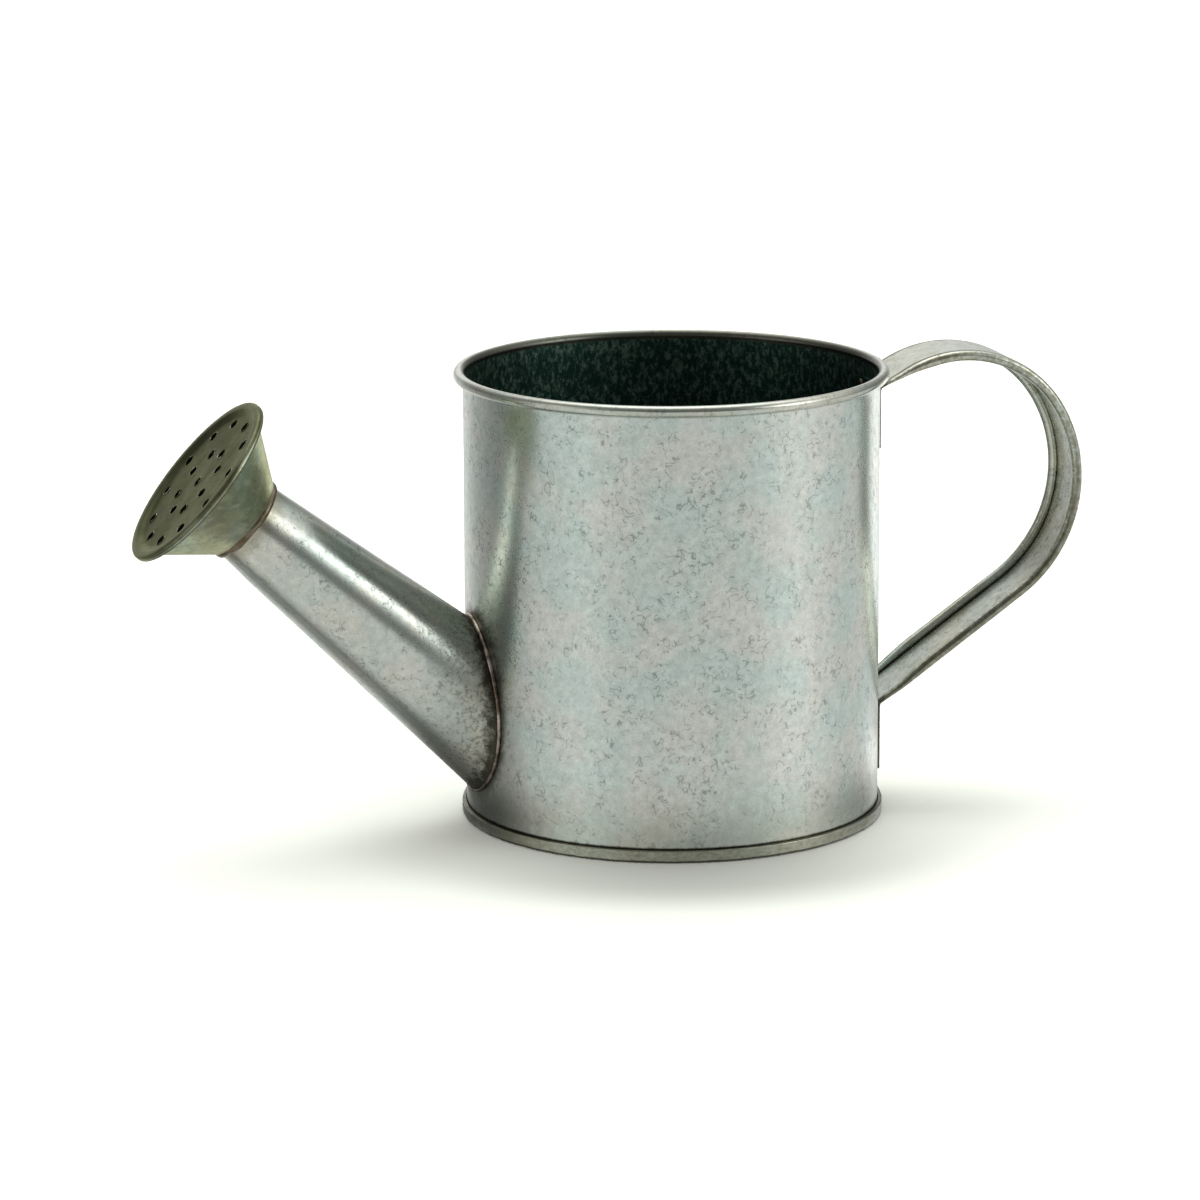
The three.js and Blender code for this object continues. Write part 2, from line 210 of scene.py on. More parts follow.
def grid_faces(rows, columns, rows_close):
    """Faces of a grid whose columns close on themselves, and whose rows may."""
    last = rows if rows_close else rows - 1
    faces = []
    for i in range(last):
        for j in range(columns):
            k, n = (i + 1) % rows, (j + 1) % columns
            faces.append((i * columns + j, i * columns + n, k * columns + n, k * columns + j))
    return faces


# The vector noise starts from the clock unless it is given a seed.
noise.seed_set(5)


def kept_within(points, radius):
    """Brings back every point that is further than radius from the can's axis."""
    reach = np.hypot(points[:, 0], points[:, 1])
    too_far = reach > radius
    points[too_far, :2] *= (radius / reach[too_far])[:, None]
    return points


def uneven(points, reach, size, seed=0.0, along=(1, 1, 0)):
    """Moves points by up to about reach along the named axes, in waves of the given size."""
    shift = Vector((seed, 2 * seed, 3 * seed))
    moved = points.copy()
    for i, point in enumerate(points):
        wave = noise.noise_vector(Vector(point) / size + shift)
        moved[i] += np.array(wave) * reach * np.array(along)
    return moved


# %% Piece helpers
def mesh_from(points, faces):
    mesh = bpy.data.meshes.new("part")
    mesh.from_pydata([tuple(p) for p in points], [], faces)
    mesh.update()
    return mesh


def close_up(mesh):
    """Merges a mesh's seams and poles, turns its faces outwards and counts its open edges."""
    shell = bmesh.new()
    shell.from_mesh(mesh)
    bmesh.ops.remove_doubles(shell, verts=shell.verts, dist=0.5e-6)
    bmesh.ops.recalc_face_normals(shell, faces=shell.faces)
    if shell.calc_volume(signed=True) < 0:
        bmesh.ops.reverse_faces(shell, faces=shell.faces)
    open_edges = sum(not edge.is_manifold for edge in shell.edges)
    shell.to_mesh(mesh)
    shell.free()
    return open_edges


def worked_out(holder):
    """An object's mesh with its modifiers applied. The object itself goes."""
    bpy.context.view_layer.update()
    depsgraph = bpy.context.evaluated_depsgraph_get()
    made = bpy.data.meshes.new_from_object(holder.evaluated_get(depsgraph))
    bpy.data.objects.remove(holder)
    return made


def make_piece(name, mesh, material, nodes=(), crease=35):
    """Closes a mesh, shades it and ties it to the frame as one finished piece."""
    open_edges = close_up(mesh)
    mesh.shade_smooth()
    mesh.set_sharp_from_angle(angle=math.radians(crease))
    mesh.name = name
    mesh.materials.clear()
    mesh.materials.append(material)
    piece = add_object(name, mesh)
    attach(piece, "root")
    if nodes:
        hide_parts(*nodes)
    triangles = sum(len(p.vertices) - 2 for p in mesh.polygons)
    print(f"{name}: {triangles} triangles, {open_edges} open edges")


# %% [markdown]
# ## Writing node trees as sums
#
# A finish is worked out with a good deal of arithmetic on noises. Placing each Math node by hand
# is slow to write and slower to read, so a small class stands for one output socket, and its
# operators add the nodes. A second class holds a tree and has one method for every other node.
# The same two classes serve the shaders and the geometry trees.

# %% One socket, with sums
class Wire:
    """One output socket of a node tree. A sum or a method adds the node that works it out."""

    def __init__(self, graph, node, output):
        self.graph = graph
        self.node = node
        self.socket = node.outputs[output]

    def also(self, output):
        return Wire(self.graph, self.node, output)

    def math(self, operation, first, second=0.0):
        return self.graph.add("ShaderNodeMath", {"operation": operation}, {0: first, 1: second})

    def __add__(self, other):
        return self.math("ADD", self, other)

    def __sub__(self, other):
        return self.math("SUBTRACT", self, other)

    def __rsub__(self, other):
        return self.math("SUBTRACT", other, self)

    def __mul__(self, other):
        return self.math("MULTIPLY", self, other)

    def __truediv__(self, other):
        return self.math("DIVIDE", self, other)

    __radd__ = __add__
    __rmul__ = __mul__

    def size(self):
        return self.math("ABSOLUTE", self)

    def at_most(self, other):
        return self.math("MINIMUM", self, other)

    def at_least(self, other):
        return self.math("MAXIMUM", self, other)

    def exp(self):
        return self.math("EXPONENT", self)

    def dot(self, other):
        return self.graph.vector("DOT_PRODUCT", self, other, "Value")

    def length(self):
        return self.graph.vector("LENGTH", self, output="Value")

    def smooth(self, low, high):
        """0 below low, 1 above high, and a smooth step between. Falls where low is above high."""
        if low > high:
            return 1 - self.smooth(high, low)
        inputs = {0: self, 1: low, 2: high, 3: 0.0, 4: 1.0}
        return self.graph.add("ShaderNodeMapRange", {"interpolation_type": "SMOOTHSTEP"}, inputs)

    def with_stains_and_shade(self, *stains):
        """This colour under layers, each an amount from 0 to 1 and a colour, the last on top.
        The layers are stains, and painted light and shade.
        """
        skin = self
        for amount, shade in stains:
            skin = self.graph.mix(amount, skin, shade)
        return skin


# %% A tree, and any node
class Graph:
    """A node tree with one method that adds any node."""

    def __init__(self, tree):
        self.tree = tree

    def add(self, kind, settings=None, inputs=None, output=0):
        node = self.tree.nodes.new(kind)
        for name, value in (settings or {}).items():
            if name == "captured":
                for socket_type, item_name in value:
                    node.capture_items.new(socket_type, item_name)
            else:
                setattr(node, name, value)
        for name, value in (inputs or {}).items():
            self.feed(node.inputs[name], value)
        return Wire(self, node, output) if len(node.outputs) else node

    def shape(self, kind, inputs=None, settings=None):
        """A geometry node, named without its prefix."""
        return self.add("GeometryNode" + kind, settings, inputs)

    def feed(self, socket, value):
        if isinstance(value, Wire):
            self.tree.links.new(value.socket, socket)
        else:
            socket.default_value = value

    def vector(self, operation, first, second=(0, 0, 0), output=0):
        return self.add("ShaderNodeVectorMath", {"operation": operation}, {0: first, 1: second}, output)

    def scaled(self, vector, factor):
        return self.add("ShaderNodeVectorMath", {"operation": "SCALE"}, {0: vector, "Scale": factor})

    def mix(self, amount, first, second):
        """A colour between two. A colour is a wire, or red, green and blue."""
        first, second = (c if isinstance(c, Wire) else (*c, 1.0) for c in (first, second))
        settings = {"data_type": "RGBA", "clamp_factor": True}
        return self.add("ShaderNodeMix", settings, {0: amount, 6: first, 7: second}, 2)

    def noise(self, place, scale, detail=3.0, rough=0.5, stretch=None):
        if stretch:
            place = self.vector("MULTIPLY", place, stretch)
        inputs = {"Vector": place, "Scale": scale, "Detail": detail, "Roughness": rough}
        return self.add("ShaderNodeTexNoise", {"normalize": True}, inputs)


# %% [markdown]
# ## The zinc skin
#
# Hot-dipped or zinc-plated sheet isn't one grey. Broad clouds lean towards a cool green-blue or
# a warm grey. Over them lie short dark curls, a third of a millimetre wide, where the zinc has
# crazed, gathered in patches, with a fine grain and scattered pits between. The curls are the
# contour lines of a smooth noise, broken up by a second one. All of it is in millimetres on the
# object's own coordinates, so that it keeps its size from piece to piece. An image could hold
# it, but a pattern in nodes has no seams and no end. The dull marks are rougher too, and a very
# low wave in the bump gives the lazy wobble that thin sheet has in its reflections.

# %% Start and end of a metal finish
DULLEST = 0.8


def start_metal(name):
    """A metal shader, with its graph and the object's coordinates in millimetres."""
    material = bpy.data.materials.new(name)
    material.use_nodes = True
    graph = Graph(material.node_tree)
    shader = material.node_tree.nodes["Principled BSDF"]
    shader.inputs["Metallic"].default_value = 1.0
    shader.inputs["Specular IOR Level"].default_value = 0.5
    place = graph.add("ShaderNodeTexCoord", output="Object")
    return material, graph, shader, graph.scaled(place, 1000.0)


def finish_metal(graph, shader, skin, rough, height):
    """Feeds the shader its colour, roughness and bump. Heights are in millimetres."""
    graph.feed(shader.inputs["Base Color"], skin)
    graph.feed(shader.inputs["Roughness"], rough.at_most(DULLEST))
    bump = graph.add("ShaderNodeBump", None, {"Strength": 1.0, "Distance": MM, "Height": height})
    graph.feed(shader.inputs["Normal"], bump)
    print("finish:", len(graph.tree.nodes), "nodes")


# %% Zinc skin
def zinc_skin(graph, mm, warm, cool):
    """Colour, roughness change and height in millimetres of mottled zinc."""
    cloud = graph.noise(mm, 0.075, 2.0, 0.5)
    mottle = graph.noise(mm, 0.50, 4.0, 0.68)
    speckle = graph.noise(mm, 2.2, 2.0, 0.6)
    patch = graph.noise(mm, 0.17, 2.0, 0.6)
    line = graph.noise(mm, 0.44, 1.5, 0.6)
    curls = (line - 0.5).size().smooth(0.036, 0.008) * patch.smooth(0.43, 0.57)
    curls = curls * mottle.smooth(0.60, 0.46)
    specks = speckle.smooth(0.60, 0.74) * mottle.smooth(0.56, 0.42)
    cells = graph.add("ShaderNodeTexVoronoi", {"feature": "F1"}, {"Vector": mm, "Scale": 0.40})
    chance = cells.also("Color").dot((1, 0, 0))
    pits = cells.smooth(0.13, 0.05) * chance.smooth(0.80, 0.85)
    tint = graph.mix(cloud.smooth(0.34, 0.66), warm, cool)
    shade = 1 + (mottle - 0.5) * 0.55 + (speckle - 0.5) * 0.42
    marks = (curls * 0.48 + specks * 0.42 + pits * 0.6).at_most(0.8)
    skin = graph.mix(marks, graph.scaled(tint, shade.at_least(0.1)), (0.12, 0.16, 0.14))
    rough = (mottle - 0.5) * -0.16 + marks * 0.12
    wave = graph.noise(mm, 0.05, 1.0, 0.4)
    height = wave * 0.16 + mottle * 0.012 + speckle * 0.005 - marks * 0.012
    return skin, rough, height


# %% Places on the can, for the finishes
def place_on_spout(mm):
    """A point's offset from the spout's foot, how far up the spout it is and how far out, in mm."""
    offset = mm.graph.vector("SUBTRACT", mm, tuple(v / MM for v in spout_frame.translation))
    up_spout = offset.dot(tuple(spout_axis))
    across = mm.graph.vector("SUBTRACT", offset, mm.graph.scaled(tuple(spout_axis), up_spout))
    return offset, up_spout, across.length()


def spout_r_mm(up_spout):
    return SPOUT_ROOT_R / MM - up_spout * SPOUT_TAPER


def distance_from_axis(mm):
    return mm.graph.vector("MULTIPLY", mm, (1, 1, 0)).length()


# %% [markdown]
# ## The body's finish
#
# Outside, the can's wall is the plain zinc skin. A dark band hugs the spout's joint: partly the
# brown tarnish that heat and flux from soldering leave, partly painted shade in the corner. The
# foot is darker and yellower: partly a yellow stain, partly painted shade for the can's shadow
# mirrored in it, and darker still under the spout, partly a drip stain, partly painted shade for
# the spout's shadow. Inside, the wall is painted nearly black-green as shade, with a lighter grain.
# One material does both sides: it tells them apart by the distance from the can's axis, half-way
# through the sheet. The ring at the foot is told apart by its height, and gets its own wear, with a
# painted highlight along its top edge and lines of painted shade in the groove above it, along its
# bottom and under the rim's bead.

# %% Body finish
body_finish, graph, shader, mm = start_metal("galvanised body")
skin, rough, height = zinc_skin(graph, mm, (0.63, 0.65, 0.60), (0.55, 0.64, 0.60))
from_axis = distance_from_axis(mm)
high = mm.dot((0, 0, 1))
stain = graph.noise(mm, 0.35, 4.0, 0.7)
unsure = stain - 0.5

offset, up_spout, from_centre = place_on_spout(mm)
# The wall beside the spout's joint goes dark: partly solder tarnish, partly painted shade in the corner.
near_joint = (from_centre - spout_r_mm(up_spout) + unsure * 4.0).smooth(3.4, 0.6)
# The foot goes darker and yellower: a yellow stain, and painted shade for the can's shadow mirrored in it.
foot = (high + unsure * 14.0).smooth(24.0, 3.0)
# Under the spout the foot goes darker still: partly a drip stain, partly painted shade for the spout's
# shadow.
under_spout = mm.dot((-0.95, -0.31, 0)) / from_axis.at_least(1.0)
drip_and_spout_shade = (under_spout + unsure * 0.12).smooth(0.90, 0.995) * high.smooth(17.0, 4.0)
flecks = graph.noise(mm, 0.9, 2.0, 0.5).smooth(0.70, 0.76) * high.smooth(40.0, 5.0)
skin = skin.with_stains_and_shade(
    (near_joint * 0.85, (0.055, 0.055, 0.04)),
    (foot * 0.36, (0.37, 0.37, 0.25)),
    (drip_and_spout_shade * 0.45, (0.06, 0.07, 0.045)),
    (flecks * 0.5, (0.50, 0.36, 0.16)),
)

# %% Body edges and inside
wall_r, seam_top, rim_top = WALL_R / MM, SEAM_TOP / MM, CAN_HEIGHT / MM
ring = high.smooth(seam_top + 0.2, seam_top)
worn = graph.noise(mm, 0.9, 5.0, 0.78, (0.6, 0.6, 1.6))
# A light line along the ring's top edge, broken up by noise: a painted highlight.
ring_edge_highlight = high.smooth(seam_top - 0.45, seam_top - 0.2) * high.smooth(seam_top + 0.05, seam_top - 0.1)
# A dark line along the ring's bottom: painted contact shadow.
painted_contact_shade = (high + unsure * 0.5).smooth(0.80, 0.42)
# Painted shade in the groove above the ring.
groove_shade = (high + unsure * 0.8).smooth(seam_top + 0.6, seam_top + 0.1)
groove_shade = groove_shade * high.smooth(seam_top - 0.3, seam_top - 0.05)
# Painted shade in the gap under the rim's bead.
shade_under_bead = high.smooth(rim_top - 3.4, rim_top - 2.5) * from_axis.smooth(wall_r + 0.8, wall_r + 0.2)
bead = high.smooth(rim_top - 3.0, rim_top - 2.6) * from_axis.smooth(wall_r + 0.2, wall_r + 0.5)
grime = graph.noise(mm, 0.85, 5.0, 0.75, (1, 1, 0.6))
# The inside is painted nearly black-green with a lighter grain: painted shade.
inside = from_axis.smooth(wall_r - 0.1, wall_r - 0.4) * high.smooth(rim_top - 1.7, rim_top - 2.4)
skin = skin.with_stains_and_shade(
    (ring * (0.36 + worn.smooth(0.38, 0.66) * 0.42), (0.22, 0.21, 0.13)),
    (ring_edge_highlight * worn.smooth(0.35, 0.55) * 0.55, (0.62, 0.62, 0.50)),
    (painted_contact_shade * 0.9, (0.03, 0.028, 0.015)),
    ((groove_shade + shade_under_bead).at_most(1.0) * 0.85, (0.045, 0.04, 0.02)),
    (bead * 0.35, (0.46, 0.43, 0.32)),
    (inside, graph.mix(grime.smooth(0.46, 0.66), (0.018, 0.06, 0.048), (0.20, 0.30, 0.24))),
)
rough = 0.25 + rough + near_joint * 0.14 + foot * 0.04 + inside * 0.20 - bead * 0.07
finish_metal(graph, shader, skin, rough, height)

# %% [markdown]
# ## The spout's finish
#
# The spout is the same zinc, but the zinc has run thin near the heat of the two joints. It is
# pitted and browned for two centimetres above the wall, and slightly browned under the rose.
# Right at the wall it is nearly black: partly scorch, partly painted shade in the corner by the
# solder. Its underside is painted darker as shade, with a line of painted shadow beside the lap.

# %% Spout finish
spout_finish, graph, shader, mm = start_metal("galvanised spout")
skin, rough, height = zinc_skin(graph, mm, (0.63, 0.64, 0.57), (0.55, 0.62, 0.57))
off_wall = distance_from_axis(mm) - WALL_R / MM
unsure = graph.noise(mm, 0.45, 4.0, 0.7) - 0.5
pocks = graph.noise(mm, 1.1, 3.0, 0.6)
offset, up_spout, from_centre = place_on_spout(mm)
browned = (off_wall + unsure * 12.0).smooth(21.0, 1.0)
# Right at the wall the spout goes nearly black: partly scorch, partly painted shade by the solder.
scorch_and_shade = (off_wall + unsure * 7.0).smooth(4.2, 1.2)
near_neck = (up_spout + unsure * 5.0).smooth(67.5, 72.0)
pitted = browned * pocks.smooth(0.50, 0.62)
sideways = offset.dot((0, -1, 0)) / spout_r_mm(up_spout)
underside = offset.dot(tuple(spout_frame.to_3x3() @ Vector((-1, 0, 0)))) / (SPOUT_ROOT_R / MM)
skin = skin.with_stains_and_shade(
    (browned * 0.50, (0.33, 0.32, 0.24)),
    (scorch_and_shade * 0.94, (0.045, 0.042, 0.026)),
    (near_neck * 0.55, (0.27, 0.23, 0.13)),
    (pitted * 0.55, (0.08, 0.08, 0.055)),
    # Painted shade: the underside darker, away from the wall.
    (underside.smooth(0.25, 0.75) * off_wall.smooth(10.0, 30.0) * 0.26, (0.28, 0.29, 0.22)),
    # A painted shadow line along the underside, beside the lap.
    (underside.smooth(0.88, 0.98) * sideways.smooth(0.02, 0.25) * 0.30, (0.10, 0.10, 0.06)),
)
finish_metal(graph, shader, skin, 0.21 + rough + browned * 0.20 + scorch_and_shade * 0.10, height - pitted * 0.04)

# %% [markdown]
# ## The rose's finish
#
# The rose is spun from thinner, duller sheet, which has weathered to olive. Its face, which the
# water washes, is darkest, and darker still on one side. Light streaks along the cone are painted
# highlights, where its dents would catch the light. Its crest and some of the burrs round the holes
# carry painted highlights, a line of painted shade lies under the lip, and its inside is painted
# nearly black as shade. The parts are told apart by how far up the spout's axis they are and how
# far from it, which the CAD sizes fix.

# %% Rose finish
rose_finish, graph, shader, mm = start_metal("weathered rose")
shader.inputs["Specular Tint"].default_value = (0.85, 0.86, 0.70, 1.0)
skin, rough, height = zinc_skin(graph, mm, (0.42, 0.42, 0.27), (0.32, 0.385, 0.31))
patina = graph.noise(mm, 0.13, 4.0, 0.6)
# Light streaks: painted highlights standing in for the cone's dents.
streaks = graph.noise(mm, 0.22, 3.0, 0.6, (0.6, 1, 1.6))
offset, up_spout, from_centre = place_on_spout(mm)
face_at = ROSE_MOUTH / MM - 0.2
face_skin = graph.mix(patina.smooth(0.40, 0.60), (0.16, 0.165, 0.095), (0.075, 0.082, 0.038)).with_stains_and_shade(
    (from_centre.smooth(17.5, 21.0) * 0.35, (0.12, 0.12, 0.06)),
    (mm.dot((0, 1, 0)).smooth(-7.0, 15.0) * 0.60, (0.045, 0.048, 0.022)),
)
# The burrs, where a noise allows, and the crest get painted highlights.
burrs = up_spout.smooth(face_at + 0.02, face_at + 0.06) * from_centre.smooth(18.7, 18.5)
glint_chance = graph.noise(mm, 0.8, 2.0, 0.5).smooth(0.46, 0.56)
crest = up_spout.smooth(face_at + 0.86, face_at + 0.97)
# Painted shade under the lip.
shade_under_lip = from_centre.smooth(21.5, 22.0) * up_spout.smooth(face_at - 0.2, face_at - 0.5)

# %% Rose stains, painted highlights and shade, and its inside
collar_end = SPOUT_NECK / MM + 0.6
flare = (ROSE_FLARE_R - ROSE_COLLAR_R) / MM / ((ROSE_MOUTH - SHEET) / MM - collar_end)
outer_r = (up_spout - collar_end) * flare + ROSE_COLLAR_R / MM
# The cone's inside is painted nearly black: painted shade.
hidden = (outer_r - from_centre).smooth(0.30, 0.40) * up_spout.smooth(face_at - 0.04, face_at - 0.08)
skin = skin.with_stains_and_shade(
    (patina.smooth(0.46, 0.62) * 0.55, (0.20, 0.215, 0.135)),
    (streaks.smooth(0.54, 0.66) * 0.35, (0.62, 0.64, 0.52)),
    (up_spout.smooth(face_at - 0.06, face_at - 0.02) * 0.90, face_skin),
    ((burrs * glint_chance * 0.9 + crest * 0.17).at_most(1.0), (0.66, 0.67, 0.56)),
    (shade_under_lip * 0.75, (0.06, 0.055, 0.03)),
    (hidden * 0.97, (0.004, 0.004, 0.003)),
)
finish_metal(graph, shader, skin, 0.30 + rough + patina * 0.05 + hidden * 0.3, height)

# %% [markdown]
# ## The handle's finish
#
# The handle is handled: its zinc is a shade warmer, with yellowish grime on the rolled edges.
# The rolls' outermost edges are painted darker, as shade, and a thin black line of painted
# shade lies in the crevice where each roll meets the strap.

# %% Handle finish
handle_finish, graph, shader, mm = start_metal("galvanised handle")
skin, rough, height = zinc_skin(graph, mm, (0.62, 0.62, 0.53), (0.58, 0.625, 0.565))
grime = graph.noise(mm, 0.22, 4.0, 0.65)
fine_grime = graph.noise(mm, 0.75, 3.0, 0.65)
from_middle = mm.dot((0, 1, 0)).size()
on_roll = from_middle.smooth(8.2, 9.0)
face_turn = graph.add("ShaderNodeNewGeometry", output="Normal").dot((0, 1, 0)).size()
# Painted shade: a thin black line in the crevice where each roll meets the strap.
crevice_shade = from_middle.smooth(6.9, 7.4) * from_middle.smooth(8.3, 7.9) * face_turn.smooth(0.6, 0.3)
on_tab = distance_from_axis(mm).smooth(53.6, 52.4)
skin = skin.with_stains_and_shade(
    (grime.smooth(0.50, 0.66) * 0.35, (0.36, 0.34, 0.22)),
    (on_roll * fine_grime.smooth(0.38, 0.58) * 0.62, (0.24, 0.225, 0.13)),
    # Painted shade along the rolls' outermost edges.
    (from_middle.smooth(9.35, 9.75) * 0.55, (0.10, 0.095, 0.055)),
    (crevice_shade * 0.85, (0.02, 0.022, 0.015)),
    (on_tab * (0.25 + from_middle.smooth(8.4, 9.2) * 0.6), (0.09, 0.085, 0.055)),
)
finish_metal(graph, shader, skin, 0.26 + rough + on_roll * 0.03, height)

# %% [markdown]
# ## The solder's finish
#
# Solder that has been wiped and left goes pinkish-brown, with nearly black flux in its hollows
# and bright spots where it was touched last. Low down it is painted darker, as shade, and at the
# rose's neck it is browner.

# %% Solder finish
solder_finish, graph, shader, mm = start_metal("tarnished solder")
blotch = graph.noise(mm, 0.20, 4.0, 0.6)
fine = graph.noise(mm, 1.1, 3.0, 0.6)
high = mm.dot((0, 0, 1))
skin = graph.mix(blotch.smooth(0.40, 0.60), (0.17, 0.13, 0.09), (0.60, 0.51, 0.44)).with_stains_and_shade(
    (fine.smooth(0.56, 0.68) * 0.6, (0.05, 0.04, 0.025)),
    # Painted shade: darker low down.
    (high.smooth(33.0, 20.0) * 0.6, (0.06, 0.055, 0.035)),
    (high.smooth(62.0, 66.0) * 0.80, (0.10, 0.078, 0.04)),
)
finish_metal(graph, shader, skin, 0.20 + blotch * 0.15 + fine * 0.1, fine * 0.03 + blotch * 0.1)

# %% [markdown]
# ## The can's wall
#
# The wall is one sheet rolled into a cylinder and lapped behind the handle, where it shows
# least. Its rim is curled outwards into a hollow bead, which stiffens it and hides the sharp
# cut edge. The bead ends just short of the wall, and leaves a dark gap under it, which the body's
# finish darkens further with a line of painted shade. The profile runs up the inside, round the
# curl, back round the inside of the curl and down the outside, so the wall has its real
# thickness everywhere. The spout's hole is cut with a cone, as a Boolean keeps the wall's own
# curve round the hole.

# %% Wall and rim
WALL_FOOT = 0.8 * MM
bead_r = WALL_INNER_R + RIM_BEAD_R
bead_z = can_top - RIM_BEAD_R
wall_profile = (
    run((WALL_INNER_R, WALL_FOOT), (WALL_INNER_R, bead_z), 26)
    + arc(bead_r, bead_z, RIM_BEAD_R, 180, -110, 30)
    + arc(bead_r, bead_z, RIM_BEAD_R - SHEET, -110, 160, 22)
    + run((WALL_R, bead_z + 0.2 * MM), (WALL_R, WALL_FOOT), 26)
    + [(WALL_R, WALL_FOOT)]
)
points, faces = ring_skin(wall_profile, 256)
points = uneven(points, 0.09 * MM, 34 * MM, seed=3.1)
points = kept_within(uneven(points, 0.03 * MM, 9 * MM, seed=7.7), rim_r)
wall_mesh = mesh_from(points, faces)

# %% Spout hole, then the finished wall
cutter_rows = [
    (1e-9, -26 * MM), (spout_r(-26 * MM) - SHEET, -26 * MM),
    (spout_r(26 * MM) - SHEET, 26 * MM), (1e-9, 26 * MM),
]
points, faces = ring_skin(cutter_rows, 96)
cutter_mesh = mesh_from(in_spout_frame(points), faces)
close_up(cutter_mesh)
cutter, blank = add_object("cutter", cutter_mesh), add_object("blank", wall_mesh)
cut = blank.modifiers.new("spout_hole", "BOOLEAN")
cut.operation = "DIFFERENCE"
cut.solver = "EXACT"
cut.object = cutter
cut_wall = worked_out(blank)
bpy.data.objects.remove(cutter)
make_piece("can_wall", cut_wall, body_finish, ["body_shell"])

# %% [markdown]
# ## The wall's side lap
#
# The two edges of the wall's sheet overlap by a few millimetres and are soldered. The outer
# edge is dressed flat, so that the lap only shows inside, as a strip as thick as the sheet.

# %% Side lap
LAP_WIDTH = 5 * MM
lap_turn = LAP_WIDTH / 2 / WALL_INNER_R
lap_points = []
lap_heights = np.linspace(2.6 * MM, can_top - 5.6 * MM, 30)
for height in lap_heights:
    outer = [(WALL_INNER_R + 0.05 * MM, a) for a in np.linspace(-lap_turn, lap_turn, 9)]
    inner = [(WALL_INNER_R - SHEET, a) for a in np.linspace(lap_turn, -lap_turn, 9)]
    lap_points += [(r * math.cos(a), r * math.sin(a), height) for r, a in outer + inner]
lap_faces = grid_faces(30, 18, False)
lap_faces += [tuple(range(17, -1, -1)), tuple(range(29 * 18, 30 * 18))]
make_piece("side_lap", mesh_from(lap_points, lap_faces), body_finish)

# %% [markdown]
# ## The base and its folded seam
#
# The base is a shallow pan. Its edge stands up round the foot of the wall and is folded in over
# it, which leaves a band round the foot and a fine dark groove above it. Such a band is closed
# with a hammer or a roller, so it is never quite even: it swells, dips and carries small dings.
# The groove is real depth between two pieces, and the body's finish adds painted shade in it,
# so it stays dark from every side.

# %% Base pan
seam_fold_r = WALL_R + 0.22 * MM
seam_round = 0.45 * MM
seam_face = [
    (SEAM_R - 0.03 * MM, 0.95 * MM), (SEAM_R, 1.3 * MM), (SEAM_R, 1.8 * MM), (SEAM_R - 0.06 * MM, 2.3 * MM),
]
pan_profile = (
    [(1e-9, 0)]
    + run((9 * MM, 0), (SEAM_R - 1.2 * MM, 0), 6)
    + arc(SEAM_R - 0.67 * MM, 0.55 * MM, 0.55 * MM, -90, 0, 6)
    + seam_face
    + arc(SEAM_R - seam_round, SEAM_TOP - seam_round, seam_round, 0, 90, 6)
    + [(seam_fold_r, SEAM_TOP), (seam_fold_r, SEAM_TOP - SHEET)]
    + [(SEAM_R - SHEET, SEAM_TOP - SHEET), (SEAM_R - SHEET, SHEET)]
    + run((SEAM_R - 1.5 * MM, SHEET), (4 * MM, SHEET), 12)
    + [(1e-9, SHEET)]
)
points, faces = ring_skin(pan_profile, 288)
on_band = np.hypot(points[:, 0], points[:, 1]) > WALL_R + 0.5 * MM
swell = uneven(points, 0.16 * MM, 8 * MM, seed=1.3)
swell = uneven(swell, 0.13 * MM, 2.2 * MM, seed=5.9, along=(1, 1, 0.5))
points[on_band] = swell[on_band]
points = kept_within(points, SEAM_R)
points[:, 2] = np.clip(points[:, 2], 0, SEAM_TOP)
make_piece(
    "base_pan_skin", mesh_from(points, faces), body_finish, ["base_pan"]
)

# %% [markdown]
# ## Solder round the inside of the base
#
# Solder is run round the inside corner to make the folded seam hold water. It wets both sheets,
# so its face is hollow, and it pools here and there. A ring with a hollow profile and an uneven
# reach gives that.

# %% Base solder
corner_r = WALL_INNER_R - 0.05 * MM
corner_z = SHEET + 0.02 * MM
leg = 1.6 * MM
fillet = arc(corner_r - leg, corner_z + leg, leg, -90, 0, 8)
points, faces = ring_skin([(corner_r, corner_z)] + fillet, 256)
free = (np.hypot(points[:, 0], points[:, 1]) < corner_r - 0.1 * MM) | (points[:, 2] > corner_z + 0.1 * MM)
lumpy = uneven(points, 0.35 * MM, 6 * MM, seed=2.2, along=(0.5, 0.5, 0.5))
points[free] = lumpy[free]
make_piece(
    "base_solder_run", mesh_from(points, faces), solder_finish, ["base_solder"]
)

# %% [markdown]
# ## The spout
#
# The spout is a flat blank rolled into a taper, with its edges lapped and soldered along the
# underside, and its wide end cut to sit on the can. The root's edge is a curve in space, which
# comes from where each line of the cone meets the can's cylinder. So the tube is laid out line
# by line, which keeps the faces in neat rows where a Boolean would leave slivers that catch the
# light. The outer edge of the lap is raised over a few degrees and then drops, as a real one does.

# %% Spout tube
TUBE_END = SPOUT_NECK + 1.2 * MM
LAP_STEP = 0.3 * MM
tube_angles = np.linspace(-math.pi, math.pi, 224, endpoint=False) + 0.003
tube_rows = 44


def lap_rise(angle):
    """How far the lap's outer edge stands off the tube, just to one side of the underside."""
    before = (angle + math.pi) / math.radians(28)
    return LAP_STEP * max(0.0, 1 - before) ** 0.7 if before > 0 else 0.0


def tube_skin(moved, cylinder_r):
    rows = []
    for t in np.linspace(0, 1, tube_rows):
        for angle in tube_angles:
            start = spout_meets(cylinder_r, moved, angle)
            distance = start + (TUBE_END - start) * t
            fade = min(1.0, 8 * (1 - t))
            radius = spout_r(distance) + moved + lap_rise(angle) * fade
            rows.append((radius * math.cos(angle), radius * math.sin(angle), distance))
    return np.array(rows)


